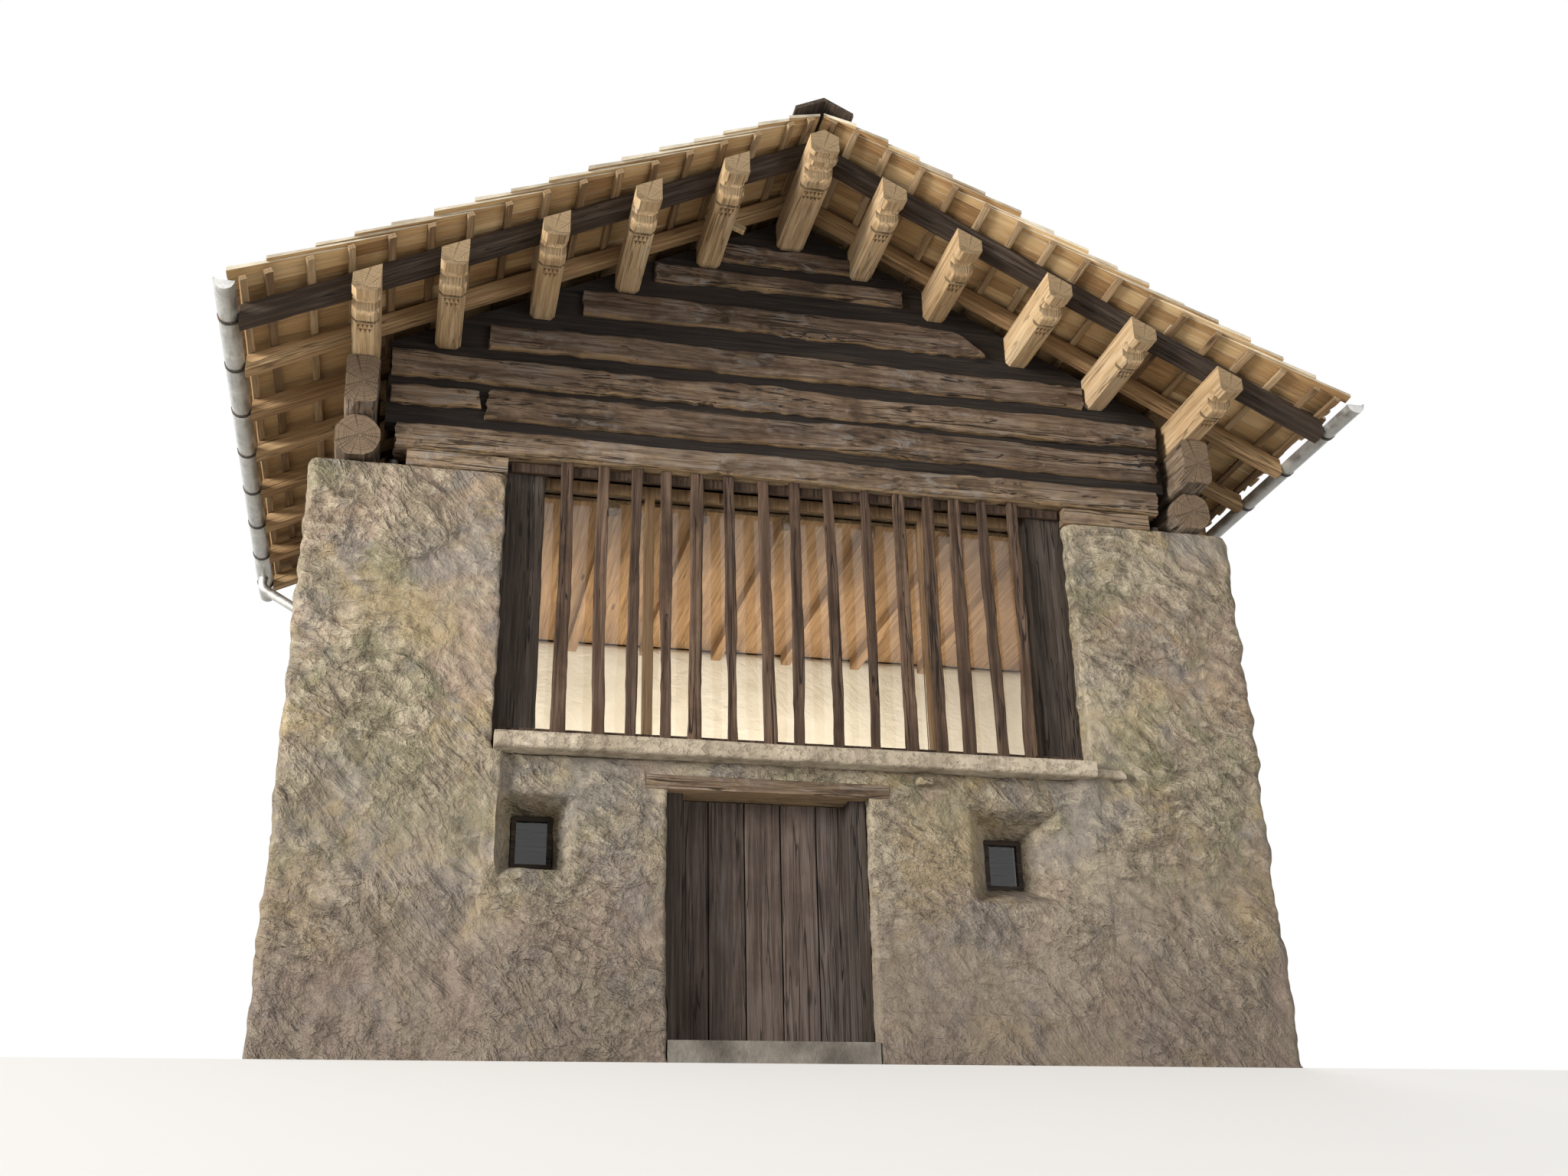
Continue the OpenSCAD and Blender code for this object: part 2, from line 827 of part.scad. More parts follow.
module half_disc(r) {
  intersection() {
    circle(r = r);
    translate([-r, -r]) square([2 * r, r]);
  }
}

module half_ring(r_out, r_in) {
  difference() {
    half_disc(r_out);
    circle(r = r_in);
  }
}

// Half-round gutter with a bead on its outer rim, stopped ends, and a hole
// for its downpipe
module gutter() {
  difference() {
    union() {
      along_y(gutter_front, gutter_back) translate([gutter_x, gutter_rim]) {
        half_ring(gutter_r, gutter_r - sheet_t);
        translate([gutter_r - sheet_t, -1]) square([sheet_t, bead_r + 1]);
        translate([gutter_r - sheet_t / 2, bead_r]) circle(r = bead_r);
      }
      for (y = [gutter_front, gutter_back - sheet_t])
        along_y(y, y + sheet_t) translate([gutter_x, gutter_rim]) half_disc(gutter_r - 1);
    }
    translate([gutter_x, pipe_y, gutter_rim - 2 * gutter_r])
      cylinder(r = pipe_r - sheet_t, h = 2 * gutter_r);
  }
}

module gutters() { color(zinc) both_sides() gutter(); }

// Flat iron under the gutter, up the cut end of a rafter
module bracket() {
  top = batten_line - rafter_end * roof_rise;
  r = gutter_r + fit;
  along_y(-bracket_w / 2, bracket_w / 2) {
    translate([gutter_x, gutter_rim]) half_ring(r + bracket_t, r);
    translate([rafter_end, gutter_rim - 1]) square([bracket_t, top - gutter_rim + 1]);
  }
}

// Ring round the downpipe on a stem from the wall
module pipe_clip() {
  difference() {
    union() {
      translate([pipe_x, pipe_y, 0]) cylinder(r = pipe_r + fit + bracket_t, h = clip_h);
      box(half_w, pipe_x, pipe_y - clip_h / 2, pipe_y + clip_h / 2, 0, clip_h);
    }
    translate([pipe_x, pipe_y, -1]) cylinder(r = pipe_r + fit, h = clip_h + 2);
  }
}

module gutter_brackets() {
  verge_y = front - verge_at + verge_w / 2;
  color(iron) both_sides() {
    for (y = [verge_y, for (i = [0:rafter_n - 1]) rafter_y(i) + rafter_w / 2])
      translate([0, y, 0]) bracket();
    for (z = clip_z) translate([0, 0, z]) pipe_clip();
  }
}

// Straight length of pipe, a seam short of each end
module pipe(h) {
  translate([0, 0, fit]) linear_extrude(h - 2 * fit) difference() {
    circle(r = pipe_r);
    circle(r = pipe_r - sheet_t);
  }
}

// Elbow about a point in X and Z, from angle a through its turn
module elbow(x, z, a) {
  translate([x, pipe_y, z]) rotate([90, -a, 0])
    rotate_extrude(angle = elbow_turn) translate([bend_r, 0]) difference() {
      circle(r = pipe_r);
      circle(r = pipe_r - sheet_t);
    }
}

// Downpipe: a stub under the gutter, two elbows with a run between them,
// and the fall, each its own length of pipe
module downpipe() {
  top = gutter_rim - gutter_r - pipe_stub;
  shift = bend_r * (1 - cos(elbow_turn));
  drop = bend_r * sin(elbow_turn);
  run = (gutter_x - pipe_x - 2 * shift) / sin(elbow_turn);
  bottom = top - drop - run * cos(elbow_turn);
  difference() {
    translate([gutter_x, pipe_y, top]) pipe(pipe_stub + gutter_r / 2);
    along_y(pipe_y - 2 * pipe_r, pipe_y + 2 * pipe_r) translate([gutter_x, gutter_rim])
      circle(r = gutter_r + fit);
  }
  elbow(gutter_x - bend_r, top, -elbow_turn);
  translate([pipe_x + shift, pipe_y, bottom]) rotate([0, elbow_turn, 0]) pipe(run);
  elbow(pipe_x + bend_r, bottom - drop, 180 - elbow_turn);
  translate([pipe_x, pipe_y, foot_z]) pipe(bottom - drop - foot_z);
}

module downpipes() { color(zinc) both_sides() downpipe(); }

// Small lamps on the pier tops, between the pads and the side logs
module pier_lamps() {
  x = (pad_end + side_log_x - side_log_d / 2) / 2;
  color(iron) both_sides()
    translate([x, pad_front + pad_d / 2, pier_h]) cylinder(r = lamp[0], h = lamp[1]);
}

pier_left();
pier_right();
front_wall_left();
front_wall_right();
front_wall_over_door();
left_wall();
right_wall();
rear_wall();
ground_floor();
door_lintel();
door_frame();
threshold();
door_leaf();
door_straps();
door_pintles();
sill_ledge();
front_posts();
slat_screen();
window_frame();
window_glass();
small_window_frames();
upper_joists();
upper_floor();
ceiling();
pier_pads();
lintel_beam();
front_gable_wall();
front_gable_logs();
rear_gable_wall();
wall_logs_left();
wall_logs_right();
ridge_purlin();
purlins_left();
purlins_right();
verge_rafters();
rafters();
battens();
shingles_left();
shingles_right();
ridge_cap();
gutters();
gutter_brackets();
downpipes();
pier_lamps();
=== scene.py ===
"""Looks of the stone and log granary barn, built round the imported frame.

Metres. X runs along the front, the front faces -Y, +Z is up, and the origin
is on the ground at the middle of the footprint. Each new piece is a surface
worked out with numpy, with its place in its mesh.
"""

import math

import bpy
import numpy as np
from mathutils import Matrix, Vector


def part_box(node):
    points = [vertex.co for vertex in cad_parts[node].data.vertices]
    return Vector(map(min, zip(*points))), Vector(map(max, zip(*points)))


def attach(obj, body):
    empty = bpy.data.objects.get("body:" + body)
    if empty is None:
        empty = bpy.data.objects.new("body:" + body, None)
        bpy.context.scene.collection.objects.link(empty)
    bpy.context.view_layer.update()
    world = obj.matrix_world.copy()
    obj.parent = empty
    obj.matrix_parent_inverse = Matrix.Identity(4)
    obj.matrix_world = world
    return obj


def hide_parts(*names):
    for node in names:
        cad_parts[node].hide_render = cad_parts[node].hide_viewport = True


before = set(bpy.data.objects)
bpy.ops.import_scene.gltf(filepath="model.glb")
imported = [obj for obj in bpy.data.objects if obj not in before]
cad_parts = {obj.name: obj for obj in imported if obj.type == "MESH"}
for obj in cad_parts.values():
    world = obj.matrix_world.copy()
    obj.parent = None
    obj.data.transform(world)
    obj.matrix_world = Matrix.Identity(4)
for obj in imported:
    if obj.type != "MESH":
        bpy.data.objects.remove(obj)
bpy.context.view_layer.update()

# Sizes taken from the frame
PIER_LOW, PIER_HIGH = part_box("pier_right")
FRONT_Y, PIER_IN, WALL_X, PIER_TOP = PIER_LOW.y, PIER_LOW.x, PIER_HIGH.x, PIER_HIGH.z
INNER_Y = PIER_HIGH.y
REAR_IN, REAR_Y = (corner.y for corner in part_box("rear_wall"))
INNER_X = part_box("ground_floor")[1].x
OVER_LOW, OVER_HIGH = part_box("front_wall_over_door")
WALL_FACE, SILL_BOTTOM = OVER_LOW.y, OVER_HIGH.z
DOOR_LEFT, DOOR_RIGHT, LINTEL_TOP = OVER_LOW.x, OVER_HIGH.x, OVER_LOW.z
LINTEL_LOW, LINTEL_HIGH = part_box("door_lintel")
SILL_LOW, SILL_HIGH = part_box("sill_ledge")
BEAM_LOW, BEAM_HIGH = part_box("lintel_beam")
PAD_LOW, PAD_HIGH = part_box("pier_pads")
POST_LOW, POST_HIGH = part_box("front_posts")
SLAT_LOW, SLAT_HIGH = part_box("slat_screen")
FRAME_LOW, FRAME_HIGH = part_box("window_frame")
GLASS_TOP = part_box("window_glass")[1].z
LEAF_LOW, LEAF_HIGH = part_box("door_leaf")
COAT_LOW, COAT_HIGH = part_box("shingles_right")
PURLIN_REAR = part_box("ridge_purlin")[1].y
GABLE_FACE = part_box("front_gable_wall")[0].y
SIDE_LOW, SIDE_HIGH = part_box("wall_logs_right")
EAVE_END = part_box("rafters")[1].x
BATTEN_FRONT, BATTEN_REAR = (corner.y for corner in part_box("battens"))

# Roof: the heights of its layers, carried up to the middle of the ridge
ROOF_RISE = 0.505
ROOF_PITCH = math.atan(ROOF_RISE)
PITCH_COS, PITCH_SIN = math.cos(ROOF_PITCH), math.sin(ROOF_PITCH)
RAFTER_LINE = 6.415
BATTEN_LINE = 6.545
COAT_LINE = 6.585
COURSE = 0.246
COURSES = 16


# Arithmetic on whole arrays

def smoothstep(value, low, high):
    """3t^2 - 2t^3 of t, which runs from 0 at low to 1 at high."""
    t = np.clip((value - low) / (high - low), 0, 1)
    return t * t * (3 - 2 * t)


def corner_value(ix, iy, iz, seed):
    """A fixed number from 0 to 1 for each whole-number corner, by multiplying and folding bits."""
    h = (ix * 374761393 + iy * 668265263 + iz * 1440662683 + seed * 1274126177) & 0xFFFFFFFF
    h = ((h ^ (h >> 13)) * 1274126177) & 0xFFFFFFFF
    return ((h ^ (h >> 16)) & 0xFFFF) / 65535.0


def swell(points, size, seed):
    """Smooth noise from -1 to 1: corner values of a lattice with cells of that size, blended
    along each axis with weights 3t^2 - 2t^3."""
    place = np.asarray(points, float) / np.asarray(size, float)
    cell = np.floor(place).astype(np.int64)
    x, y, z = np.moveaxis(cell, -1, 0)
    u, v, w = np.moveaxis(smoothstep(place - cell, 0, 1), -1, 0)
    total = np.zeros(place.shape[:-1])
    for dx, dy, dz in np.ndindex(2, 2, 2):
        weight = np.abs(1 - dx - u) * np.abs(1 - dy - v) * np.abs(1 - dz - w)
        total += weight * corner_value(x + dx, y + dy, z + dz, seed)
    return 2 * total - 1


def rough(points, size, seed, octaves):
    """Sum of swells, each half the size and half the height of the one before."""
    heights = 0.5 ** np.arange(octaves)
    size = np.asarray(size, float)
    total = sum(height * swell(points, size * height, seed + 31 * k) for k, height in enumerate(heights))
    return total / heights.sum()


def facets(points, size, seed):
    """Shallow hollows that meet in ridges, as an adze leaves them: 1 - 2|swell|, from -1 to 1."""
    return 1 - 2 * np.abs(swell(points, size, seed))


# Surfaces: each is its points, its quads, a tone a point, and each point's place across the
# section of its timber, followed by 1, which the end grain goes by

def grid_quads(rows, cols, wrap=False):
    """Quads between neighbours of a rows by cols grid; wrap joins the last column to the first."""
    r = np.arange(rows - 1)[:, None]
    c = np.arange(cols if wrap else cols - 1)[None, :]
    a, b = r * cols + c, r * cols + (c + 1) % cols
    return np.stack([a, b, b + cols, a + cols], -1).reshape(-1, 4)


def plain(points, quads, tone=0.0):
    """A surface with no end grain."""
    return points, quads, np.zeros(len(points)) + tone, np.zeros((len(points), 3))


def tube(rings, section, pith, tone, broken=None):
    """Closed surface through rings of points, an array of rings by points by 3, anticlockwise
    as seen from ahead. Each end is closed by rings that shrink to one point, each moved along
    by broken."""
    shrink = np.array([0.75, 0.5, 0.25, 0.0])[:, None, None]
    caps = []
    for ring, last in ((rings[:1], False), (rings[-1:], True)):
        middle = ring.mean(1, keepdims=True)
        cap = middle + (ring - middle) * shrink
        caps.append(cap + broken(cap, last) if broken else cap)
    whole = np.concatenate([caps[0][::-1], rings, caps[1]])
    spread = np.concatenate([shrink[::-1], np.ones((len(rings), 1, 1)), shrink])
    across = np.concatenate([section * spread + pith, np.ones(whole.shape[:2] + (1,))], -1)
    count = whole.shape[1]
    index = np.arange(len(whole) * count)
    index[:count] = 0
    index[-count:] = len(index) - 1
    tones = np.pad(np.zeros(rings.shape[:2]) + tone, ((len(shrink),) * 2, (0, 0)), mode="edge")
    return (whole.reshape(-1, 3), index[grid_quads(len(whole), count, wrap=True)],
            tones.ravel(), across.reshape(-1, 3))


def gather(parts):
    """One surface from several."""
    points, quads, tones, across = zip(*parts)
    firsts = np.cumsum([0] + [len(part) for part in points[:-1]])
    quads = [part + first for part, first in zip(quads, firsts)]
    return tuple(np.concatenate(column) for column in (points, quads, tones, across))


def in_scene(name, data):
    """A new object in the scene with that mesh, camera or light."""
    made = bpy.data.objects.new(name, data)
    bpy.context.scene.collection.objects.link(made)
    return made


def piece(name, surface, finish, body="house", replaces=(), sharp=40):
    """Makes a piece of the object from a surface, and gives it its finish, its body and its slot,
    and hides the nodes that it stands for. A quad with a repeated corner becomes a triangle."""
    points, quads, tones, section = surface
    used, quads = np.unique(quads, return_inverse=True)
    quads = quads.reshape(-1, 4)
    corner = quads != np.roll(quads, -1, axis=1)
    sizes = corner.sum(1)
    mesh = bpy.data.meshes.new(name)
    mesh.vertices.add(len(used))
    mesh.vertices.foreach_set("co", np.asarray(points[used], np.float32).ravel())
    mesh.loops.add(int(sizes.sum()))
    mesh.loops.foreach_set("vertex_index", quads[corner].astype(np.int32))
    mesh.polygons.add(len(quads))
    mesh.polygons.foreach_set("loop_start", (np.cumsum(sizes) - sizes).astype(np.int32))
    mesh.update(calc_edges=True)
    tone_values = mesh.attributes.new("tone", "FLOAT", "POINT")
    tone_values.data.foreach_set("value", tones[used].astype(np.float32))
    across = mesh.attributes.new("section", "FLOAT_VECTOR", "POINT")
    across.data.foreach_set("vector", section[used].astype(np.float32).ravel())
    mesh.validate()
    mesh.polygons.foreach_set("use_smooth", np.ones(len(mesh.polygons), bool))
    mesh.set_sharp_from_angle(angle=math.radians(sharp))
    mesh.materials.append(FINISHES[finish].material)
    made = in_scene(name, mesh)
    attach(made, body)
    if replaces:
        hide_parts(*replaces)


def cells_of(grid, value):
    """One truth value for each cell of a box grid, which is its lines along X, Y and Z."""
    return np.full([len(line) - 1 for line in grid], value)


def block_skin(grid, solid):
    """Closed surface of the filled cells of a box grid: a quad wherever a filled cell meets an
    empty one."""
    full = np.pad(solid, 1).astype(int)
    counts = [len(line) for line in grid]
    quads = []
    for axis in range(3):
        step = np.diff(np.moveaxis(full, axis, 0), axis=0)
        others = [a for a in range(3) if a != axis]
        for sign in (1, -1):
            at = np.argwhere(step == sign)
            corners = np.array([(0, 0), (1, 0), (1, 1), (0, 1)])
            if (sign == 1) != (axis == 1):
                corners = corners[::-1]
            index = np.zeros((len(at), 4, 3), np.int64)
            index[..., axis] = at[:, :1]
            index[..., others] = at[:, None, 1:] - 1 + corners
            quads.append(np.ravel_multi_index(tuple(np.moveaxis(index, -1, 0)), counts))
    used, quads = np.unique(np.concatenate(quads), return_inverse=True)
    places = [line[k] for line, k in zip(grid, np.unravel_index(used, counts))]
    return np.stack(places, -1), quads.reshape(-1, 4)


def eased(points, quads, times, hold=0.0):
    """Rounds the arrises: each point moves half way to the mean of its neighbours, several
    times. hold, from 0 to 1 a point, keeps it in place."""
    at, beside = np.concatenate([quads[:, [k, (k + 1) % 4]] for k in range(4)]).T
    count = np.bincount(at, minlength=len(points)).astype(float)
    free = 0.5 * np.broadcast_to(1 - hold, len(points))[:, None]
    for _ in range(times):
        mean = np.stack([np.bincount(at, weights=points[beside, k], minlength=len(points)) / count
                         for k in range(3)], -1)
        points = points + (mean - points) * free
    return points


def normals(points, quads):
    """Outward direction at each point: the sum of its quads' cross products, made length 1."""
    p = points[quads]
    cross = np.cross(p[:, 2] - p[:, 0], p[:, 3] - p[:, 1])
    total = np.stack([sum(np.bincount(quads[:, k], weights=cross[:, a], minlength=len(points))
                          for k in range(4)) for a in range(3)], -1)
    return total / np.maximum(np.linalg.norm(total, axis=1, keepdims=True), 1e-12)


def lines(gap, *stops):
    """Grid lines through the given places with about that spacing between them. A place can
    come with a spacing of its own up to the next."""
    stops = [stop if isinstance(stop, tuple) else (stop, gap) for stop in stops]
    parts = [np.linspace(a, b, max(1, round((b - a) / step)), endpoint=False)
             for (a, step), (b, _) in zip(stops[:-1], stops[1:])]
    return np.append(np.concatenate(parts), stops[-1][0])


def fill(solid, grid, low, high, value=True):
    """Fills, or empties, the cells whose middles lie between the corners low and high."""
    inside = []
    for line, a, b in zip(grid, low, high):
        middle = (line[1:] + line[:-1]) / 2
        inside.append((middle > a) & (middle < b))
    solid[np.ix_(*inside)] = value


def box_ring(width, height, arris, along):
    """Points round a section of that width and height with rounded corners, along the sides
    at about that spacing, anticlockwise from the lower right."""
    w, h = width / 2 - arris, height / 2 - arris
    turn = np.linspace(0, math.pi / 2, 4)
    ring = []
    for k, (x, y, dx, dy) in enumerate(((w, -h, 0, 2 * h), (w, h, -2 * w, 0), (-w, h, 0, -2 * h),
                                        (-w, -h, 2 * w, 0))):
        angle = turn + (k - 1) * math.pi / 2
        ring.append(np.stack([x + arris * np.cos(angle), y + arris * np.sin(angle)], -1))
        n = max(2, round(abs(dx + dy) / along))
        ring.append(ring[-1][-1] + (np.arange(1, n) / n)[:, None] * (dx, dy))
    return np.concatenate(ring)


def round_ring(radius, flat, count):
    """Points round a log's section: a circle, planed flat above and below at that height."""
    angle = np.arange(count) / count * 2 * math.pi
    return np.stack([radius * np.cos(angle), np.clip(radius * np.sin(angle), -flat, flat)], -1)


# Sizes of a timber's swells: the first two across the grain, the third along it
WAVE_CELL, ADZE_CELL, FIBRE_CELL = (0.10, 0.10, 0.8), (0.09, 0.09, 0.17), (0.022, 0.022, 0.22)
DRIFT_CELL, TOOTH_CELL, CAP_CELL = (1, 1, 0.9), (0.035, 0.035, 1), 0.04


def timber(start, end, ring, seed, wave=0.006, facet=0.0, fibre=0.002, cell=0.045, bow=0.0,
           ragged=0.0, slant=(0, 0), wander=0.0, tone=0.0, pith=(0.01, 0.02)):
    """A hewn or sawn timber from start to end: the ring of its section carried along the line,
    each point moved outwards by wave times a swell stretched along the grain, plus facet times
    the adze's hollows, plus fibre times a finer swell. Each of its four faces drifts in and
    out by wander times a slow swell of its own. It bends sideways by bow times sin of pi times
    the way along. Its ends are broken by ragged times a swell, and cut aslant by slant times
    the height across the section. The ring's first axis is level, or X for an upright timber."""
    start, end = np.asarray(start, float), np.asarray(end, float)
    length = np.linalg.norm(end - start)
    ahead = (end - start) / length
    side = np.array([1.0, 0, 0]) if abs(ahead[2]) > 0.9 else np.cross([0, 0, 1], ahead)
    side = side / np.linalg.norm(side)
    up = np.cross(ahead, side)
    t = np.linspace(0, 1, max(2, round(length / cell)) + 1)
    away = ring / np.maximum(np.linalg.norm(ring, axis=1, keepdims=True), 1e-9)
    shape = (len(t), len(ring))
    way = np.broadcast_to((t * length)[:, None], shape).copy()
    place = np.concatenate([np.broadcast_to(ring[None], shape + (2,)), way[..., None]], -1)
    push = (wave * (rough(place + seed * 7.3, WAVE_CELL, seed, 2) - 0.4)
            + facet * (facets(place + seed * 2.7, ADZE_CELL, seed + 3) - 1)
            + fibre * rough(place + seed * 3.1, FIBRE_CELL, seed + 5, 2))
    section = ring[None] + away[None] * push[..., None]
    for k in (0, 1):
        level = ring[None, :, k] / np.abs(ring[:, k]).max()
        face = np.stack([7 * np.sign(level) + 0 * way, 3 * k + 0 * way, way], -1)
        section[..., k] += wander * level * rough(face + seed, DRIFT_CELL, seed + 21, 2)
    height = 0.5 + 0.5 * ring[None, :, 1] / np.abs(ring[:, 1]).max()
    teeth = 0.5 + 0.5 * rough(place * (1, 1, 0) + seed * 1.9, TOOTH_CELL, seed + 9, 2)
    for sign, distance, cut in ((1, way.copy(), slant[0]), (-1, length - way, slant[1])):
        near = 1 - smoothstep(distance, 0, 0.15 + 2 * (ragged + abs(cut)))
        way += sign * near * (ragged * teeth + cut * height)
    rings = start + way[..., None] * ahead + section[..., :1] * side + section[..., 1:] * up
    rings = rings + (bow * np.sin(math.pi * t))[:, None, None] * side

    def broken(cap, last):
        return ahead * rough(cap, CAP_CELL, seed + 13, 2)[..., None] * ragged * (-0.5 if last else 0.5)

    return tube(rings, ring, pith, tone, broken if ragged else None)


def beam(low, high, axis, arris, along, seed, trim=(0, 0), **shape):
    """A timber along one axis that fills the box from low to high, its width and height less
    by trim, its arrises and points as in box_ring."""
    low, high = np.array(low, float), np.array(high, float)
    start, end = np.tile((low + high) / 2, (2, 1))
    start[axis], end[axis] = low[axis], high[axis]
    width, height = np.delete(high - low, axis) - trim
    return timber(start, end, box_ring(width, height, arris, along), seed, **shape)


# Materials

class Nodes:
    """A node tree, built by short calls. A value may be a number or a socket."""

    def __init__(self, owner):
        owner.use_nodes = True
        self.tree = owner.node_tree
        self.tree.nodes.clear()

    def feed(self, node, inputs):
        """Sets or links inputs of a node, each by its name or number."""
        for key, value in inputs.items():
            if isinstance(value, bpy.types.NodeSocket):
                self.tree.links.new(value, node.inputs[key])
            elif value is not None:
                node.inputs[key].default_value = value

    def node(self, kind, inputs=None, **settings):
        made = self.tree.nodes.new(kind)
        for key, value in settings.items():
            setattr(made, key, value)
        self.feed(made, inputs or {})
        return made

    def out(self, kind, inputs=None, **settings):
        """The first output of a new node."""
        return self.node(kind, inputs, **settings).outputs[0]

    def sum(self, operation, a, b=0.0):
        return self.out("ShaderNodeMath", {0: a, 1: b}, operation=operation)


class Finish(Nodes):
    """A material with one shader, its colours and heights worked out from object coordinates."""

    def __init__(self, name):
        self.name, self.material = name, bpy.data.materials.new(name)
        super().__init__(self.material)
        self.shader = self.node("ShaderNodeBsdfPrincipled")
        self.node("ShaderNodeOutputMaterial", {"Surface": self.shader.outputs[0]})
        self.place = self.node("ShaderNodeTexCoord").outputs["Object"]

    def set(self, **values):
        self.feed(self.shader, {key.replace("_", " "): value for key, value in values.items()})

    def scaled(self, scale=(1, 1, 1), turn=(0, 0, 0), shift=(0, 0, 0), of=None):
        """Object coordinates, or others given, stretched and then turned."""
        vector = self.place if of is None else of
        return self.out("ShaderNodeMapping", {"Vector": vector, "Location": shift, "Rotation": turn,
                                              "Scale": scale})

    def noise(self, vector, scale, detail=3.0, roughness=0.55, warp=0.0, output=0):
        return self.node("ShaderNodeTexNoise", {
            "Vector": vector, "Scale": scale, "Detail": detail, "Roughness": roughness,
            "Distortion": warp}).outputs[output]

    def stripe(self, value, scale, detail=2.0):
        """Noise along one number."""
        inputs = {"W": self.times(value, scale), "Scale": 1.0, "Detail": detail}
        return self.out("ShaderNodeTexNoise", inputs, noise_dimensions="1D")

    def cells(self, vector, scale, feature="F1"):
        made = self.node("ShaderNodeTexVoronoi", {"Vector": vector, "Scale": scale}, feature=feature)
        return made.outputs["Distance"]

    def times(self, a, b):
        return self.sum("MULTIPLY", a, b)

    def size(self, value):
        return self.sum("ABSOLUTE", value)

    def less(self, a, b):
        return self.sum("SUBTRACT", a, b)

    def blend(self, *shares):
        """Weighted sum of (weight, value) pairs."""
        total = None
        for weight, value in shares:
            part = self.times(value, weight)
            total = part if total is None else self.sum("ADD", total, part)
        return total

    def vector(self, operation, a, b=None):
        made = self.node("ShaderNodeVectorMath", {0: a, 1: b}, operation=operation)
        return made.outputs["Value" if operation == "LENGTH" else "Vector"]

    def warped(self, scale, amount):
        """Object coordinates, each shifted by a noise of that scale."""
        colour = self.noise(self.place, scale, 2.0, 0.5, output=1)
        centred = self.vector("SUBTRACT", colour, (0.5, 0.5, 0.5))
        return self.vector("ADD", self.place, self.vector("MULTIPLY", centred, (amount,) * 3))

    def between(self, value, low, high, to_low=0.0, to_high=1.0):
        """Value carried from low..high to to_low..to_high, smoothly, and held at the ends."""
        inputs = dict(enumerate((value, low, high, to_low, to_high)))
        return self.out("ShaderNodeMapRange", inputs, interpolation_type="SMOOTHSTEP")

    def colours(self, value, *stops):
        """Colour ramp through stops, each a place and a colour's red, green and blue."""
        made = self.node("ShaderNodeValToRGB", {0: value})
        ramp = made.color_ramp
        while len(ramp.elements) < len(stops):
            ramp.elements.new(0.5)
        for element, (at, *colour) in zip(ramp.elements, stops):
            element.position = at
            element.color = (*colour, 1)
        return made.outputs[0]

    def mix(self, share, a, b):
        a, b = ((*colour, 1) if isinstance(colour, tuple) else colour for colour in (a, b))
        return self.node("ShaderNodeMix", {0: share, 6: a, 7: b}, data_type="RGBA",
                         clamp_factor=True).outputs[2]

    def tinted(self, colour, tint, value, low, high, share=1.0):
        """Colour with that share of a tint where value has gone from low to high."""
        return self.mix(self.between(value, low, high, 0.0, share), colour, tint)

    def apart(self, vector):
        return self.node("ShaderNodeSeparateXYZ", {0: vector}).outputs

    def facing(self):
        """The surface's own direction, as X, Y and Z."""
        return self.apart(self.node("ShaderNodeNewGeometry").outputs["Normal"])

    def attribute(self, name, output="Fac"):
        return self.node("ShaderNodeAttribute", attribute_name=name).outputs[output]

    def bumps(self, *layers):
        """Direction of a surface with bumps one on another, each a height and its distance."""
        rise = None
        for height, distance in layers:
            rise = self.out("ShaderNodeBump", {"Distance": distance, "Height": height, "Normal": rise})
        return rise


def darker(colour, share):
    return tuple(share * c for c in colour)


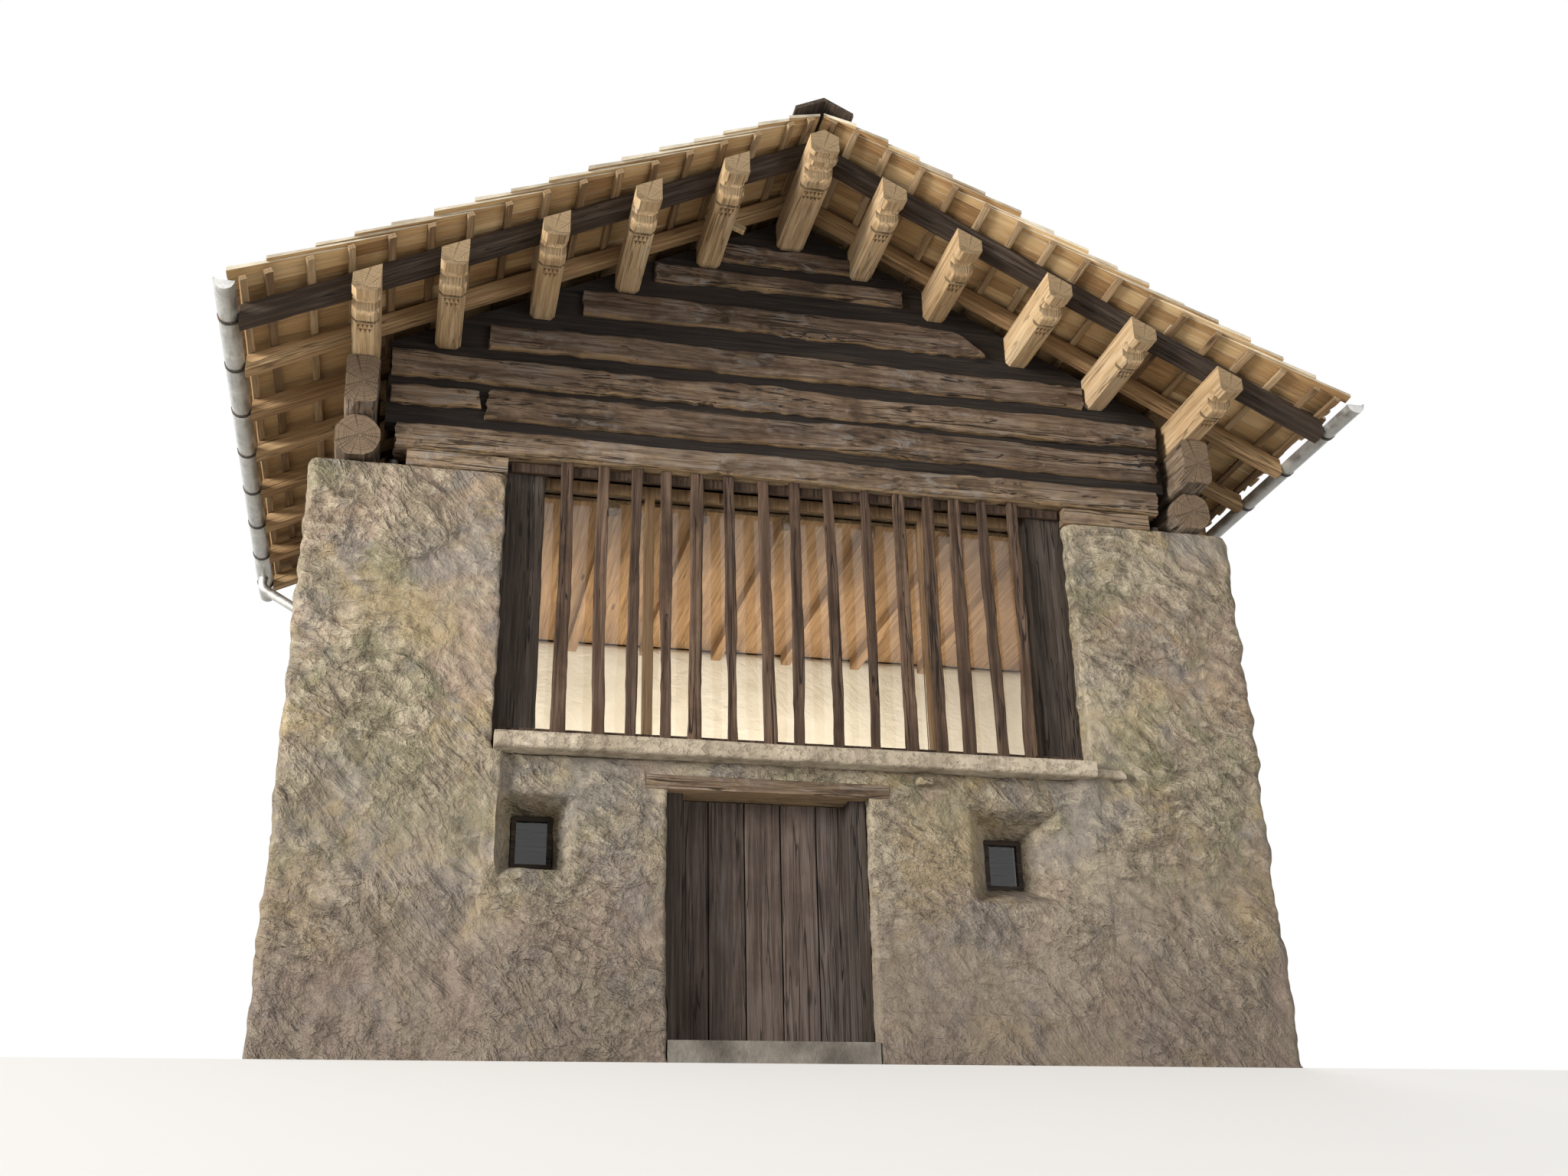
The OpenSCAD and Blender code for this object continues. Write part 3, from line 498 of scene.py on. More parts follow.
def wood(name, axis, dark, middle, light, crack=0.6, grey=0.0, below=None, soot=0.0, hewn=0.0,
         pitch=0.0, worn_ends=1.0):
    """Timber with its grain along one axis: fibres are noises stretched along the grain, cracks
    are thin valleys of a longer noise, knots are rare round spots. Ends show rings and cracks
    round the pith. Grey weathering and soot lie in patches. below is the colour of faces that
    look down: unweathered wood, made brighter as painted light from beneath. hewn is how much
    the adze's hollows show, as bumps, as grey wear on the high places between them and as
    painted shade in them. pitch turns the grain down both slopes of the roof. The factor for
    the ends, below 1, darkens the end faces, partly as weathering and partly as painted shade."""
    f = Finish(name)
    if pitch:
        x, y, z = f.apart(f.place)
        folded = f.out("ShaderNodeCombineXYZ", {0: f.size(x), 1: y, 2: z})
        f.place = f.scaled(turn=(0, -pitch, 0), of=folded)
    along = np.array([letter == axis for letter in "xyz"], float)

    def grain(lengthwise, crosswise, shift=(0, 0, 0)):
        return f.scaled(tuple(along * lengthwise + (1 - along) * crosswise), shift=shift)

    fine = f.noise(grain(5.0, 150), 1.0, 3, 0.6, 0.2)
    strand = f.noise(grain(1.5, 38), 1.0, 4, 0.65, 0.4)
    broad = f.noise(grain(0.8, 7.0), 1.0, 3, 0.6, 0.6)
    patch = f.noise(f.place, 1.9, 5, 0.62)
    toned = f.sum("ADD", f.blend((0.25, fine), (0.45, strand), (0.30, broad)), f.attribute("tone"))
    colour = f.colours(toned, (0.36, *dark), (0.5, *middle), (0.64, *light))
    grey_tone = tuple(0.55 * sum(light) / 3 + 0.25 * c + 0.02 for c in light)
    weather = f.times(f.between(patch, 0.40, 0.66), f.between(strand, 0.40, 0.62))
    colour = f.mix(f.times(weather, grey), colour, grey_tone)
    colour = f.tinted(colour, darker(dark, 0.55), patch, 0.50, 0.34, soot)
    # Faces that look down take the below colour: unweathered wood, brightened as painted light from beneath.
    if below is not None:
        down = f.between(f.facing()[2], -0.60, -0.97)
        fresh_and_lit_under = f.colours(toned, (0.36, *darker(below, 0.55)), (0.5, *below), (0.66, *darker(below, 1.22)))
        colour = f.mix(f.times(down, f.between(patch, 0.36, 0.5, 0.35, 1.0)), colour, fresh_and_lit_under)
    if hewn:
        hollow = f.noise(grain(4.5, 15), 1.0, 3, 0.6, 0.9)
        scaly = f.between(f.noise(f.scaled(shift=(6.1, 2.3, 4.9)), 1.6, 3), 0.42, 0.60, 0.15, 1.0)
        scaly = f.times(scaly, hewn)
        # Grey wear on the high places between the adze's hollows, and painted shade in the hollows
        # themselves.
        colour = f.mix(f.times(f.between(hollow, 0.52, 0.66), scaly), colour, grey_tone)
        colour = f.mix(f.times(f.between(hollow, 0.47, 0.34), scaly), colour, darker(dark, 0.5))
    knot = f.between(f.cells(grain(1.1, 5.5), 1.0), 0.11, 0.05)
    colour = f.mix(f.times(knot, 0.8), colour, darker(dark, 0.4))
    ridge = f.noise(grain(0.6, 19, shift=(3.1, 1.7, 5.2)), 1.0, 2, 0.5, 0.5)
    valley = f.size(f.less(ridge, 0.5))
    split = f.times(f.between(valley, 0.020, 0.004), f.between(broad, 0.42, 0.54))
    colour = f.mix(f.times(split, crack), colour, darker(dark, 0.22))

    section = f.attribute("section", "Vector")
    u, v, sawn = f.apart(section)
    wander = f.vector("MULTIPLY", f.noise(f.place, 9, 2, 0.5, output=1), (0.02, 0.02, 0.0))
    radius = f.vector("LENGTH", f.vector("ADD", f.vector("MULTIPLY", section, (1, 1, 0)), wander))
    rings = f.stripe(radius, 150)
    spoke = f.stripe(f.sum("ARCTAN2", v, u), 2.3, 3)
    check = f.between(f.size(f.less(spoke, 0.5)), 0.012, 0.003)
    pale = tuple(0.55 * a + 0.45 * b for a, b in zip(light, middle))
    # The end faces are darkened by the end factor: partly weathering, partly painted shade.
    cut = f.colours(rings, (0.36, *darker(middle, 0.7 * worn_ends)), (0.64, *darker(pale, worn_ends)))
    cut = f.mix(f.times(check, 0.55), cut, darker(dark, 0.4))
    ends = f.times(f.between(f.size(f.facing()["xyz".index(axis)]), 0.6, 0.85), sawn)

    side = f.less(1.0, ends)
    layers = [(f.times(fine, side), 0.0025), (f.times(strand, side), 0.007)]
    if hewn:
        layers.append((f.times(hollow, f.times(side, scaly)), 0.05))
    layers.append((f.times(split, f.times(side, -crack)), 0.010))
    layers.append((f.times(f.blend((0.3, rings), (-0.5, check)), ends), 0.005))
    f.set(Base_Color=f.mix(ends, colour, cut), Roughness=f.between(fine, 0.3, 0.7, 0.78, 0.94),
          Normal=f.bumps(*layers), Specular_IOR_Level=0.3)
    return f


def rough_cast():
    """Coarse lime rough-cast: ridges that the trowel drew aslant in one place and level in the
    next, lumps between them, calm and coarse patches, grit, stains of ochre, olive, rose and
    grey, painted highlight on the raised places and painted shade in the hollows, brown
    patches that darken towards the foot, and whitewash on the inner faces."""
    f = Finish("rough_cast")
    broad = f.noise(f.place, 0.8, 5, 0.62, 0.4)
    patch = f.noise(f.scaled(shift=(4.3, 8.1, 2.2)), 2.3, 5, 0.65, 0.6)
    bent = f.warped(1.6, 0.30)
    steep = f.noise(f.scaled((5, 9, 17), of=f.scaled(turn=(0, -0.78, 0), of=bent)), 1.0, 4, 0.60, 0.5)
    level = f.noise(f.scaled((6, 9, 15), of=f.scaled(turn=(0, -0.20, 0), of=bent)), 1.0, 4, 0.60, 0.6)
    where = f.between(f.noise(f.scaled(shift=(2.2, 5.4, 7.7)), 0.8, 2), 0.44, 0.56)
    ridges = f.sum("ADD", steep, f.times(where, f.less(level, steep)))
    lumps = f.noise(f.warped(7, 0.06), 15, 4, 0.62, 0.3)
    grit = f.noise(f.place, 120, 3, 0.65)
    coarse = f.between(f.noise(f.scaled(shift=(1.2, 3.3, 9.1)), 1.2, 3), 0.36, 0.60, 0.45, 1.0)
    relief = f.blend((0.62, ridges), (0.38, lumps))
    colour = f.colours(f.blend((0.45, broad), (0.55, patch)), (0.37, 0.150, 0.118, 0.084),
                       (0.46, 0.245, 0.198, 0.140), (0.54, 0.325, 0.272, 0.195),
                       (0.64, 0.410, 0.352, 0.260))
    for tint, shift, share in (((0.37, 0.275, 0.130), (9.3, 1.1, 6.2), 0.65),
                               ((0.180, 0.170, 0.095), (3.7, 6.6, 1.9), 0.70),
                               ((0.29, 0.200, 0.155), (7.1, 2.9, 4.4), 0.60),
                               ((0.185, 0.172, 0.168), (5.9, 9.7, 8.3), 0.70)):
        stain = f.noise(f.scaled(shift=shift), 1.3, 6, 0.70, 0.4)
        colour = f.tinted(colour, tint, stain, 0.50, 0.61, share)
    # Painted highlight on the raised places of the relief and painted shade in its hollows, where the
    # patches are coarse.
    lit = f.times(f.between(relief, 0.50, 0.60, 0.0, 0.62), coarse)
    sunk = f.times(f.between(relief, 0.49, 0.38, 0.0, 0.80), coarse)
    colour = f.mix(lit, colour, (0.52, 0.450, 0.335))
    colour = f.mix(sunk, colour, (0.085, 0.064, 0.046))
    x, y, z = f.apart(f.place)
    # Darker and browner towards the foot, in patches.
    foot_darkening = f.sum("ADD", z, f.times(patch, -1.3))
    colour = f.tinted(colour, (0.135, 0.101, 0.092), foot_darkening, 1.5, -0.7, 0.66)
    speck = f.colours(grit, (0.35, 0.12, 0.100, 0.075), (0.65, 0.50, 0.45, 0.36))
    within = f.times(f.between(f.size(x), INNER_X + 0.05, INNER_X + 0.02),
                     f.between(f.size(y), 0.05 - INNER_Y, 0.02 - INNER_Y))
    wash = f.colours(patch, (0.35, 0.70, 0.67, 0.60), (0.65, 0.80, 0.78, 0.72))
    outer = f.times(f.less(1.0, f.times(within, 0.85)), coarse)
    rise = f.bumps((f.times(f.noise(bent, 5.0, 4, 0.6), outer), 0.06), (f.times(ridges, outer), 0.075),
                   (f.times(lumps, outer), 0.036), (grit, 0.003))
    f.set(Base_Color=f.mix(within, f.mix(0.18, colour, speck), wash), Normal=rise,
          Roughness=f.between(grit, 0.3, 0.7, 0.86, 0.98), Specular_IOR_Level=0.2)
    return f


def mortar():
    """Smooth lime mortar, buff and weathered, with chipped hollows and darker drips."""
    f = Finish("sill_mortar")
    broad = f.noise(f.place, 2.4, 5, 0.6)
    grit = f.noise(f.place, 70, 3, 0.6)
    drips = f.noise(f.scaled((9, 9, 0.7)), 1.0, 4, 0.6)
    chips = f.noise(f.scaled((1, 1, 1.6)), 15, 4, 0.6)
    colour = f.colours(broad, (0.34, 0.33, 0.275, 0.205), (0.52, 0.47, 0.40, 0.305),
                       (0.68, 0.57, 0.50, 0.40))
    colour = f.tinted(colour, (0.20, 0.16, 0.12), drips, 0.48, 0.66, 0.55)
    colour = f.tinted(colour, (0.19, 0.15, 0.11), chips, 0.44, 0.34, 0.6)
    rise = f.bumps((grit, 0.003), (f.noise(f.place, 13, 4, 0.6), 0.014),
                   (f.between(chips, 0.40, 0.50), 0.006))
    f.set(Base_Color=colour, Roughness=0.9, Normal=rise, Specular_IOR_Level=0.25)
    return f


def flagstone():
    """Worn grey stone with a slight polish on the high places, and darker joints indoors."""
    f = Finish("flagstone")
    broad = f.noise(f.place, 3.0, 6, 0.6)
    seam = f.between(f.cells(f.place, 1.9, "DISTANCE_TO_EDGE"), 0.022, 0.008)
    seam = f.times(seam, f.between(f.apart(f.place)[1], INNER_Y - 0.05, INNER_Y))
    colour = f.colours(broad, (0.36, 0.10, 0.088, 0.075), (0.52, 0.175, 0.158, 0.135),
                       (0.66, 0.25, 0.23, 0.20))
    rise = f.bumps((f.noise(f.place, 26, 4, 0.65), 0.008), (f.times(seam, -1.0), 0.01))
    f.set(Base_Color=f.mix(f.times(seam, 0.7), colour, (0.08, 0.07, 0.06)), Normal=rise,
          Roughness=f.between(broad, 0.35, 0.7, 0.95, 0.78), Specular_IOR_Level=0.2)
    return f


def shingle_wood():
    """Split larch laid up the slope: silver grey above with brown streaks, golden brown on the
    faces that look down, which is unweathered wood brightened as painted light from beneath,
    and pale edges at the verge, which are a painted highlight."""
    f = Finish("shingle_wood")
    streak = f.noise(f.scaled((3.0, 70, 3.0)), 1.0, 4, 0.65, 0.3)
    patch = f.noise(f.place, 1.1, 4, 0.6)
    toned = f.sum("ADD", f.blend((0.6, streak), (0.4, patch)), f.attribute("tone"))
    above = f.colours(toned, (0.30, 0.13, 0.11, 0.09), (0.5, 0.30, 0.275, 0.235),
                      (0.72, 0.52, 0.49, 0.43))
    above = f.tinted(above, (0.155, 0.16, 0.085), f.noise(f.place, 7, 5, 0.7), 0.56, 0.70, 0.45)
    under = f.colours(toned, (0.30, 0.25, 0.135, 0.055), (0.5, 0.47, 0.295, 0.135),
                      (0.72, 0.66, 0.47, 0.25))
    _, ahead, up = f.facing()
    # Faces that look down turn golden: unweathered wood, brightened as painted light from beneath.
    colour = f.tinted(above, under, up, 0.05, -0.35)
    # The ends that face along the verge are paler: a painted highlight.
    edge = f.colours(toned, (0.32, 0.30, 0.25, 0.18), (0.66, 0.66, 0.60, 0.48))
    f.set(Base_Color=f.tinted(colour, edge, f.size(ahead), 0.6, 0.85), Specular_IOR_Level=0.3,
          Roughness=f.between(streak, 0.3, 0.7, 0.7, 0.92), Normal=f.bumps((streak, 0.006)))
    return f


def zinc():
    """Dull zinc sheet with a blue-grey bloom, run marks and a little dirt."""
    f = Finish("zinc")
    bloom = f.noise(f.place, 5.5, 5, 0.65, 0.5)
    runs = f.noise(f.scaled((38, 6, 38)), 1.0, 3, 0.6)
    colour = f.colours(bloom, (0.34, 0.42, 0.42, 0.41), (0.52, 0.56, 0.56, 0.54),
                       (0.68, 0.68, 0.68, 0.66))
    f.set(Base_Color=f.tinted(colour, (0.27, 0.25, 0.22), runs, 0.52, 0.68, 0.4), Metallic=0.85,
          Roughness=f.between(bloom, 0.35, 0.65, 0.34, 0.56), Normal=f.bumps((bloom, 0.004)))
    return f


def iron():
    """Dark forged iron, hammered, with brown rust in the hollows."""
    f = Finish("iron")
    rust = f.noise(f.place, 24, 5, 0.7)
    colour = f.colours(rust, (0.42, 0.055, 0.05, 0.047), (0.56, 0.10, 0.085, 0.075),
                       (0.70, 0.22, 0.115, 0.06))
    f.set(Base_Color=colour, Metallic=0.7, Roughness=f.between(rust, 0.4, 0.65, 0.45, 0.8),
          Normal=f.bumps((f.cells(f.place, 55, "SMOOTH_F1"), 0.003)))
    return f


def glass():
    """Clear window glass, slightly wavy."""
    f = Finish("pane_glass")
    f.set(Base_Color=(0.94, 0.97, 0.96, 1), Roughness=0.02, IOR=1.45, Transmission_Weight=1.0,
          Normal=f.bumps((f.noise(f.place, 3.0, 2), 0.002)))
    return f


# Each timber: the axis of its grain, its dark, middle and light colours, and what sets it apart
WOODS = {
    # The below colours of hewn_log and lintel_timber are unweathered undersides brightened as painted light
    # from beneath.
    "hewn_log": ("x", (0.036, 0.022, 0.014), (0.112, 0.071, 0.044), (0.245, 0.170, 0.108),
                 dict(crack=0.9, grey=0.42, below=(0.26, 0.168, 0.088), soot=0.6, hewn=0.8)),
    "side_log": ("y", (0.045, 0.030, 0.020), (0.135, 0.092, 0.058), (0.29, 0.21, 0.14),
                 dict(crack=0.9, grey=0.5, soot=0.35, hewn=0.6)),
    "lintel_timber": ("x", (0.055, 0.036, 0.023), (0.160, 0.107, 0.067), (0.325, 0.235, 0.150),
                      dict(crack=0.85, grey=0.5, below=(0.33, 0.225, 0.125), soot=0.35, hewn=0.6)),
    "dark_timber_y": ("y", (0.022, 0.015, 0.011), (0.06, 0.042, 0.030), (0.13, 0.095, 0.066),
                      dict(grey=0.3)),
    "dark_timber_x": ("x", (0.013, 0.009, 0.007), (0.036, 0.025, 0.018), (0.080, 0.057, 0.040),
                      dict(grey=0.25)),
    # Near black boards behind the gable logs: painted shade, so the gaps between the logs read deep.
    "shaded_gap_board": ("x", (0.006, 0.004, 0.003), (0.015, 0.010, 0.0075), (0.036, 0.025, 0.018),
                    dict(grey=0.15)),
    "post_timber": ("z", (0.019, 0.014, 0.011), (0.050, 0.037, 0.029), (0.105, 0.081, 0.064),
                    dict(crack=0.9, grey=0.3)),
    "old_slat": ("z", (0.028, 0.016, 0.010), (0.072, 0.042, 0.026), (0.160, 0.102, 0.065),
                 dict(crack=0.9, grey=0.2, soot=0.5)),
    "door_boards": ("z", (0.030, 0.021, 0.017), (0.080, 0.057, 0.046), (0.155, 0.117, 0.096),
                    dict(crack=0.7, grey=0.45, soot=0.3)),
    # pale_timber's end faces are darkened: partly weathering, partly painted shade.
    "pale_timber": ("y", (0.285, 0.18, 0.09), (0.49, 0.335, 0.18), (0.66, 0.50, 0.31),
                    dict(crack=0.5, grey=0.25, worn_ends=0.58)),
    "batten_timber": ("y", (0.15, 0.09, 0.045), (0.29, 0.19, 0.10), (0.43, 0.31, 0.185),
                      dict(crack=0.4)),
    "glazing_bars": ("z", (0.17, 0.095, 0.045), (0.32, 0.20, 0.105), (0.45, 0.31, 0.18),
                     dict(crack=0.2)),
    "rafter_timber": ("x", (0.18, 0.10, 0.047), (0.345, 0.215, 0.105), (0.52, 0.365, 0.20),
                      dict(crack=0.6, pitch=ROOF_PITCH)),
    # The verge rafters: rafter timber darkened as painted shade of their unlit sides.
    "shaded_verge_timber": ("x", (0.015, 0.010, 0.007), (0.046, 0.031, 0.022), (0.105, 0.074, 0.050),
                     dict(crack=0.8, grey=0.35, pitch=ROOF_PITCH)),
    "inner_boards_x": ("x", (0.17, 0.095, 0.045), (0.32, 0.20, 0.105), (0.45, 0.31, 0.18),
                       dict(crack=0.3)),
    "inner_boards_y": ("y", (0.15, 0.085, 0.042), (0.29, 0.18, 0.095), (0.42, 0.285, 0.165),
                       dict(crack=0.3)),
}
FINISHES = {name: wood(name, *colours, **rest) for name, (*colours, rest) in WOODS.items()}
for made_finish in (rough_cast(), mortar(), flagstone(), shingle_wood(), zinc(), iron(), glass()):
    FINISHES[made_finish.name] = made_finish
NODE_FINISH = {
    "ground_floor": "flagstone", "threshold": "flagstone", "door_lintel": "lintel_timber",
    "door_frame": "post_timber", "door_straps": "iron", "door_pintles": "iron",
    "window_glass": "pane_glass", "small_window_frames": "dark_timber_x",
    "upper_joists": "inner_boards_y", "upper_floor": "inner_boards_x", "ceiling": "inner_boards_y",
    # The front gable wall takes the near black board finish, which is painted shade behind the logs.
    "front_gable_wall": "shaded_gap_board", "rear_gable_wall": "hewn_log", "ridge_cap": "dark_timber_y",
    "gutters": "zinc", "gutter_brackets": "iron", "downpipes": "zinc", "pier_lamps": "iron",
}
for node_name, finish_name in NODE_FINISH.items():
    for material_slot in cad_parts[node_name].material_slots:
        material_slot.material = FINISHES[finish_name].material


# Masonry

class Splay:
    """A window in the front wall, as its opening in the wall's face."""

    def __init__(self, x, width, low, height):
        self.left, self.right, self.low, self.high = x - width / 2, x + width / 2, low, low + height
        self.middle = np.array([x, low + height / 2])
        self.opening = np.array([width, height])


SPLAYS = [Splay(-1.775, 0.48, 1.20, 0.47), Splay(1.49, 0.64, 1.09, 0.62)]
HOLE, RECESS = np.array([0.27, 0.35]), 0.30
FOOTING_TOP, FOOTING_OUT = 0.34, 0.035

# The rough-cast: how deep its relief is on the piers and side walls, on the front wall and on
# washed faces, how far it may stand out, and the spacing of its points
CAST_DEPTH, WALL_DEPTH, WASH_DEPTH, CAST_LIMIT = 0.032, 0.018, 0.003, 0.016
CAST_CELL = 0.0185

# How far the front wall and the side walls run into the piers, where the front wall's face
# begins to be built out, how much sooner it does below the right window, and a place past all
OVERRUN, SIDE_OVERRUN = 0.16, 0.03
BUILT_LEFT, BUILT_RIGHT, BUILT_SOONER = 1.40, 1.84, 0.35
FAR = 9

# The stone's reach along X, Y and Z, and the sill's thinner run over the right pier
CORBEL = (0.78, 0.90), (-1.81, -1.70), (1.85, 1.91)
TONGUE_LAP, TONGUE_TIP, TONGUE_INTO, TONGUE_LOWER = 0.02, 0.036, 0.05, 0.046


def cast_relief(points, depth):
    """How far the rough-cast stands out: long swells of the rubble under it, ridges that the
    trowel drew aslant, and lumps."""
    aslant = points @ np.array([[0.71, 0, 0.71], [0, 1, 0], [-0.71, 0, 0.71]])
    long_swell = rough(points, 0.62, 11, 2)
    ridges = rough(aslant, (0.22, 0.22, 0.080), 23, 2)
    lumps = rough(points, 0.085, 37, 2)
    return np.minimum(depth * (0.50 * long_swell + 0.62 * ridges + 0.30 * lumps - 0.34), CAST_LIMIT)


def cast(points, quads, still, washed, under_logs, foot, side=1, sunk=0.0):
    """Points of a skin moved out by the relief: little under the timbers and at the foot, thin
    where it is washed, and not along Y where still is 1."""
    out = normals(points, quads)
    out[:, 1] *= 1 - still
    out /= np.maximum(np.linalg.norm(out, axis=1, keepdims=True), 1e-9)
    depth = np.where(washed, WASH_DEPTH, CAST_DEPTH) * (1 - 0.85 * under_logs) * (1 - 0.8 * foot)
    points = points + out * (cast_relief(points * (side, 1, 1), depth) - sunk)[:, None]
    points[:, 2] = np.clip(points[:, 2], 0, PIER_TOP)
    return points


def pier_cast(side):
    """Skin of a pier: a filled block, its arrises eased most at its outer front corner, its
    faces moved by the rough-cast's relief. Its back meets the side wall unchanged."""
    grid = (lines(0.0165, PIER_IN, WALL_X), lines(CAST_CELL, FRONT_Y, INNER_Y),
            lines(CAST_CELL, 0.0, PIER_TOP))
    points, quads = block_skin(grid, cells_of(grid, True))
    foot = 1 - smoothstep(points[:, 2], 0.0, 0.04)
    back = smoothstep(points[:, 1], INNER_Y - 0.03, INNER_Y)
    points = eased(points, quads, 9, np.maximum(foot, back))
    x, y, z = points.T
    brow = smoothstep(z, PIER_TOP - 0.12, PIER_TOP)
    knee = brow * (1 - smoothstep(x, PIER_IN, PIER_IN + 0.13))
    corner = np.maximum(np.maximum(smoothstep(x, WALL_X - 0.10, WALL_X), 0.6 * brow), knee)
    corner = corner * (1 - smoothstep(y, FRONT_Y, FRONT_Y + 0.10))
    points = eased(points, quads, 40, 1 - corner * (1 - foot))
    x, y, z = points.T
    washed = (y > INNER_Y - 0.001) & (x < INNER_X)
    under_pads = smoothstep(z, PIER_TOP - 0.03, PIER_TOP - 0.005)
    points = cast(points, quads, back, washed, under_pads, foot, side)
    return plain(points * (side, 1, 1), quads[:, ::side])


def wall_cast():
    """Skin of the side and rear walls, a C in plan, run into the piers at its ends so that no
    joint shows, with the same relief as theirs."""
    grid = (lines(0.04, -WALL_X, (-INNER_X, 0.055), INNER_X, WALL_X),
            lines(0.046, (INNER_Y - SIDE_OVERRUN, 0.03), INNER_Y, (REAR_IN, 0.05), REAR_Y),
            lines(0.046, 0.0, PIER_TOP))
    solid = cells_of(grid, True)
    fill(solid, grid, (-INNER_X, -FAR, -FAR), (INNER_X, REAR_IN, FAR), False)
    points, quads = block_skin(grid, solid)
    foot = 1 - smoothstep(points[:, 2], 0.0, 0.06)
    front = 1 - smoothstep(points[:, 1], INNER_Y, INNER_Y + 0.05)
    points = eased(points, quads, 4, np.maximum(foot, front))
    x, y, z = points.T
    washed = (np.abs(x) < INNER_X + 0.02) & (y < REAR_IN + 0.02)
    under_logs = smoothstep(z, PIER_TOP - 0.05, PIER_TOP - 0.01)
    sunk = np.where(y < INNER_Y - SIDE_OVERRUN / 2, SIDE_OVERRUN / 2, 0)
    return plain(cast(points, quads, front, washed, under_logs, foot, sunk=sunk), quads)


def built_out(points):
    """How far the wall's face stands out to meet the piers' faces: beside the right pier at
    every height, beside the left one as far as the window, and farther in below the windows.
    Past each pier's arris the face dives back into the pier."""
    x, y, z = points.T
    jamb = -SPLAYS[0].left
    below_left, below_right = (1 - smoothstep(z, w.low - 0.10, w.low + 0.005) for w in SPLAYS)
    beside_left = np.maximum(smoothstep(-x, jamb - 0.02, jamb),
                             below_left * smoothstep(-x, BUILT_LEFT, PIER_IN - 0.01))
    beside_right = smoothstep(x, BUILT_RIGHT - BUILT_SOONER * below_right, PIER_IN - 0.01)
    dive = 1 - smoothstep(np.abs(x), PIER_IN + 0.03, PIER_IN + OVERRUN - 0.01)
    facing = 1 - smoothstep(y, WALL_FACE + 0.02, WALL_FACE + 0.09)
    return (y - FRONT_Y) * np.where(x > 0, beside_right, beside_left) * dive * facing


def front_wall():
    """Skin of the wall between the piers: a filled slab less the doorway, the lintel's seat and
    the two windows, with a footing. Its face is built out towards the piers, and the windows'
    sides draw together inwards as splays do."""
    a, b = SPLAYS
    grid = (lines(CAST_CELL, -PIER_IN - OVERRUN, a.left, a.right, LINTEL_LOW.x, (DOOR_LEFT, 0.04),
                  DOOR_RIGHT, LINTEL_HIGH.x, b.left, b.right, PIER_IN + OVERRUN),
            lines(0.0375, (WALL_FACE - FOOTING_OUT, FOOTING_OUT / 2), WALL_FACE, INNER_Y),
            lines(CAST_CELL, 0.0, FOOTING_TOP, b.low, a.low, (a.high, 0.02), (b.high, 0.023),
                  LINTEL_LOW.z, LINTEL_TOP, SILL_BOTTOM + 0.02))
    solid = cells_of(grid, False)
    fill(solid, grid, (-FAR, WALL_FACE, -FAR), (FAR, FAR, FAR))
    fill(solid, grid, (-FAR, -FAR, -FAR), (FAR, FAR, FOOTING_TOP))
    openings = [(DOOR_LEFT, DOOR_RIGHT, -FAR, LINTEL_LOW.z),
                (LINTEL_LOW.x, LINTEL_HIGH.x, LINTEL_LOW.z, LINTEL_TOP)]
    for left, right, low, high in openings + [(w.left, w.right, w.low, w.high) for w in SPLAYS]:
        fill(solid, grid, (left, -FAR, low), (right, FAR, high), False)
    points, quads = block_skin(grid, solid)
    x, y, z = points.T
    back = smoothstep(y, INNER_Y - 0.1, INNER_Y)
    foot = 1 - smoothstep(z, 0.0, 0.04)
    sides = smoothstep(np.abs(x), PIER_IN + OVERRUN - 0.06, PIER_IN + OVERRUN - 0.02)
    seat = smoothstep(z, LINTEL_LOW.z - 0.01, LINTEL_LOW.z) * (z < LINTEL_TOP + 0.01)
    seat = seat * (x > LINTEL_LOW.x - 0.02) * (x < LINTEL_HIGH.x + 0.02)
    hold = np.clip(back + foot + sides + 0.8 * seat, 0, 1)
    points = eased(points, quads, 5, hold)
    relief = normals(points, quads) * cast_relief(points, WALL_DEPTH * (1 - hold))[:, None]
    points = points + relief - built_out(points)[:, None] * (0, 1, 0)
    points[:, 2] = np.maximum(points[:, 2], 0)
    for w in SPLAYS:
        inward = np.clip((points[:, 1] - WALL_FACE) / RECESS, 0, 1)
        away = points[:, [0, 2]] - w.middle
        near = (1 - smoothstep(np.abs(away), w.opening / 2 + 0.02, w.opening / 2 + 0.16)).prod(1) * inward
        points[:, [0, 2]] = w.middle + away * (1 + near[:, None] * (HOLE / w.opening - 1))
    return plain(points, quads)


def corbel_stone():
    """A small stone in the wall right of the doorway: a rounded block, eased and roughened."""
    grid = [lines(0.012, *span) for span in CORBEL]
    points, quads = block_skin(grid, cells_of(grid, True))
    points = eased(points, quads, 4)
    points = points + normals(points, quads) * (0.006 * rough(points, 0.05, 3, 2))[:, None]
    return plain(points, quads)


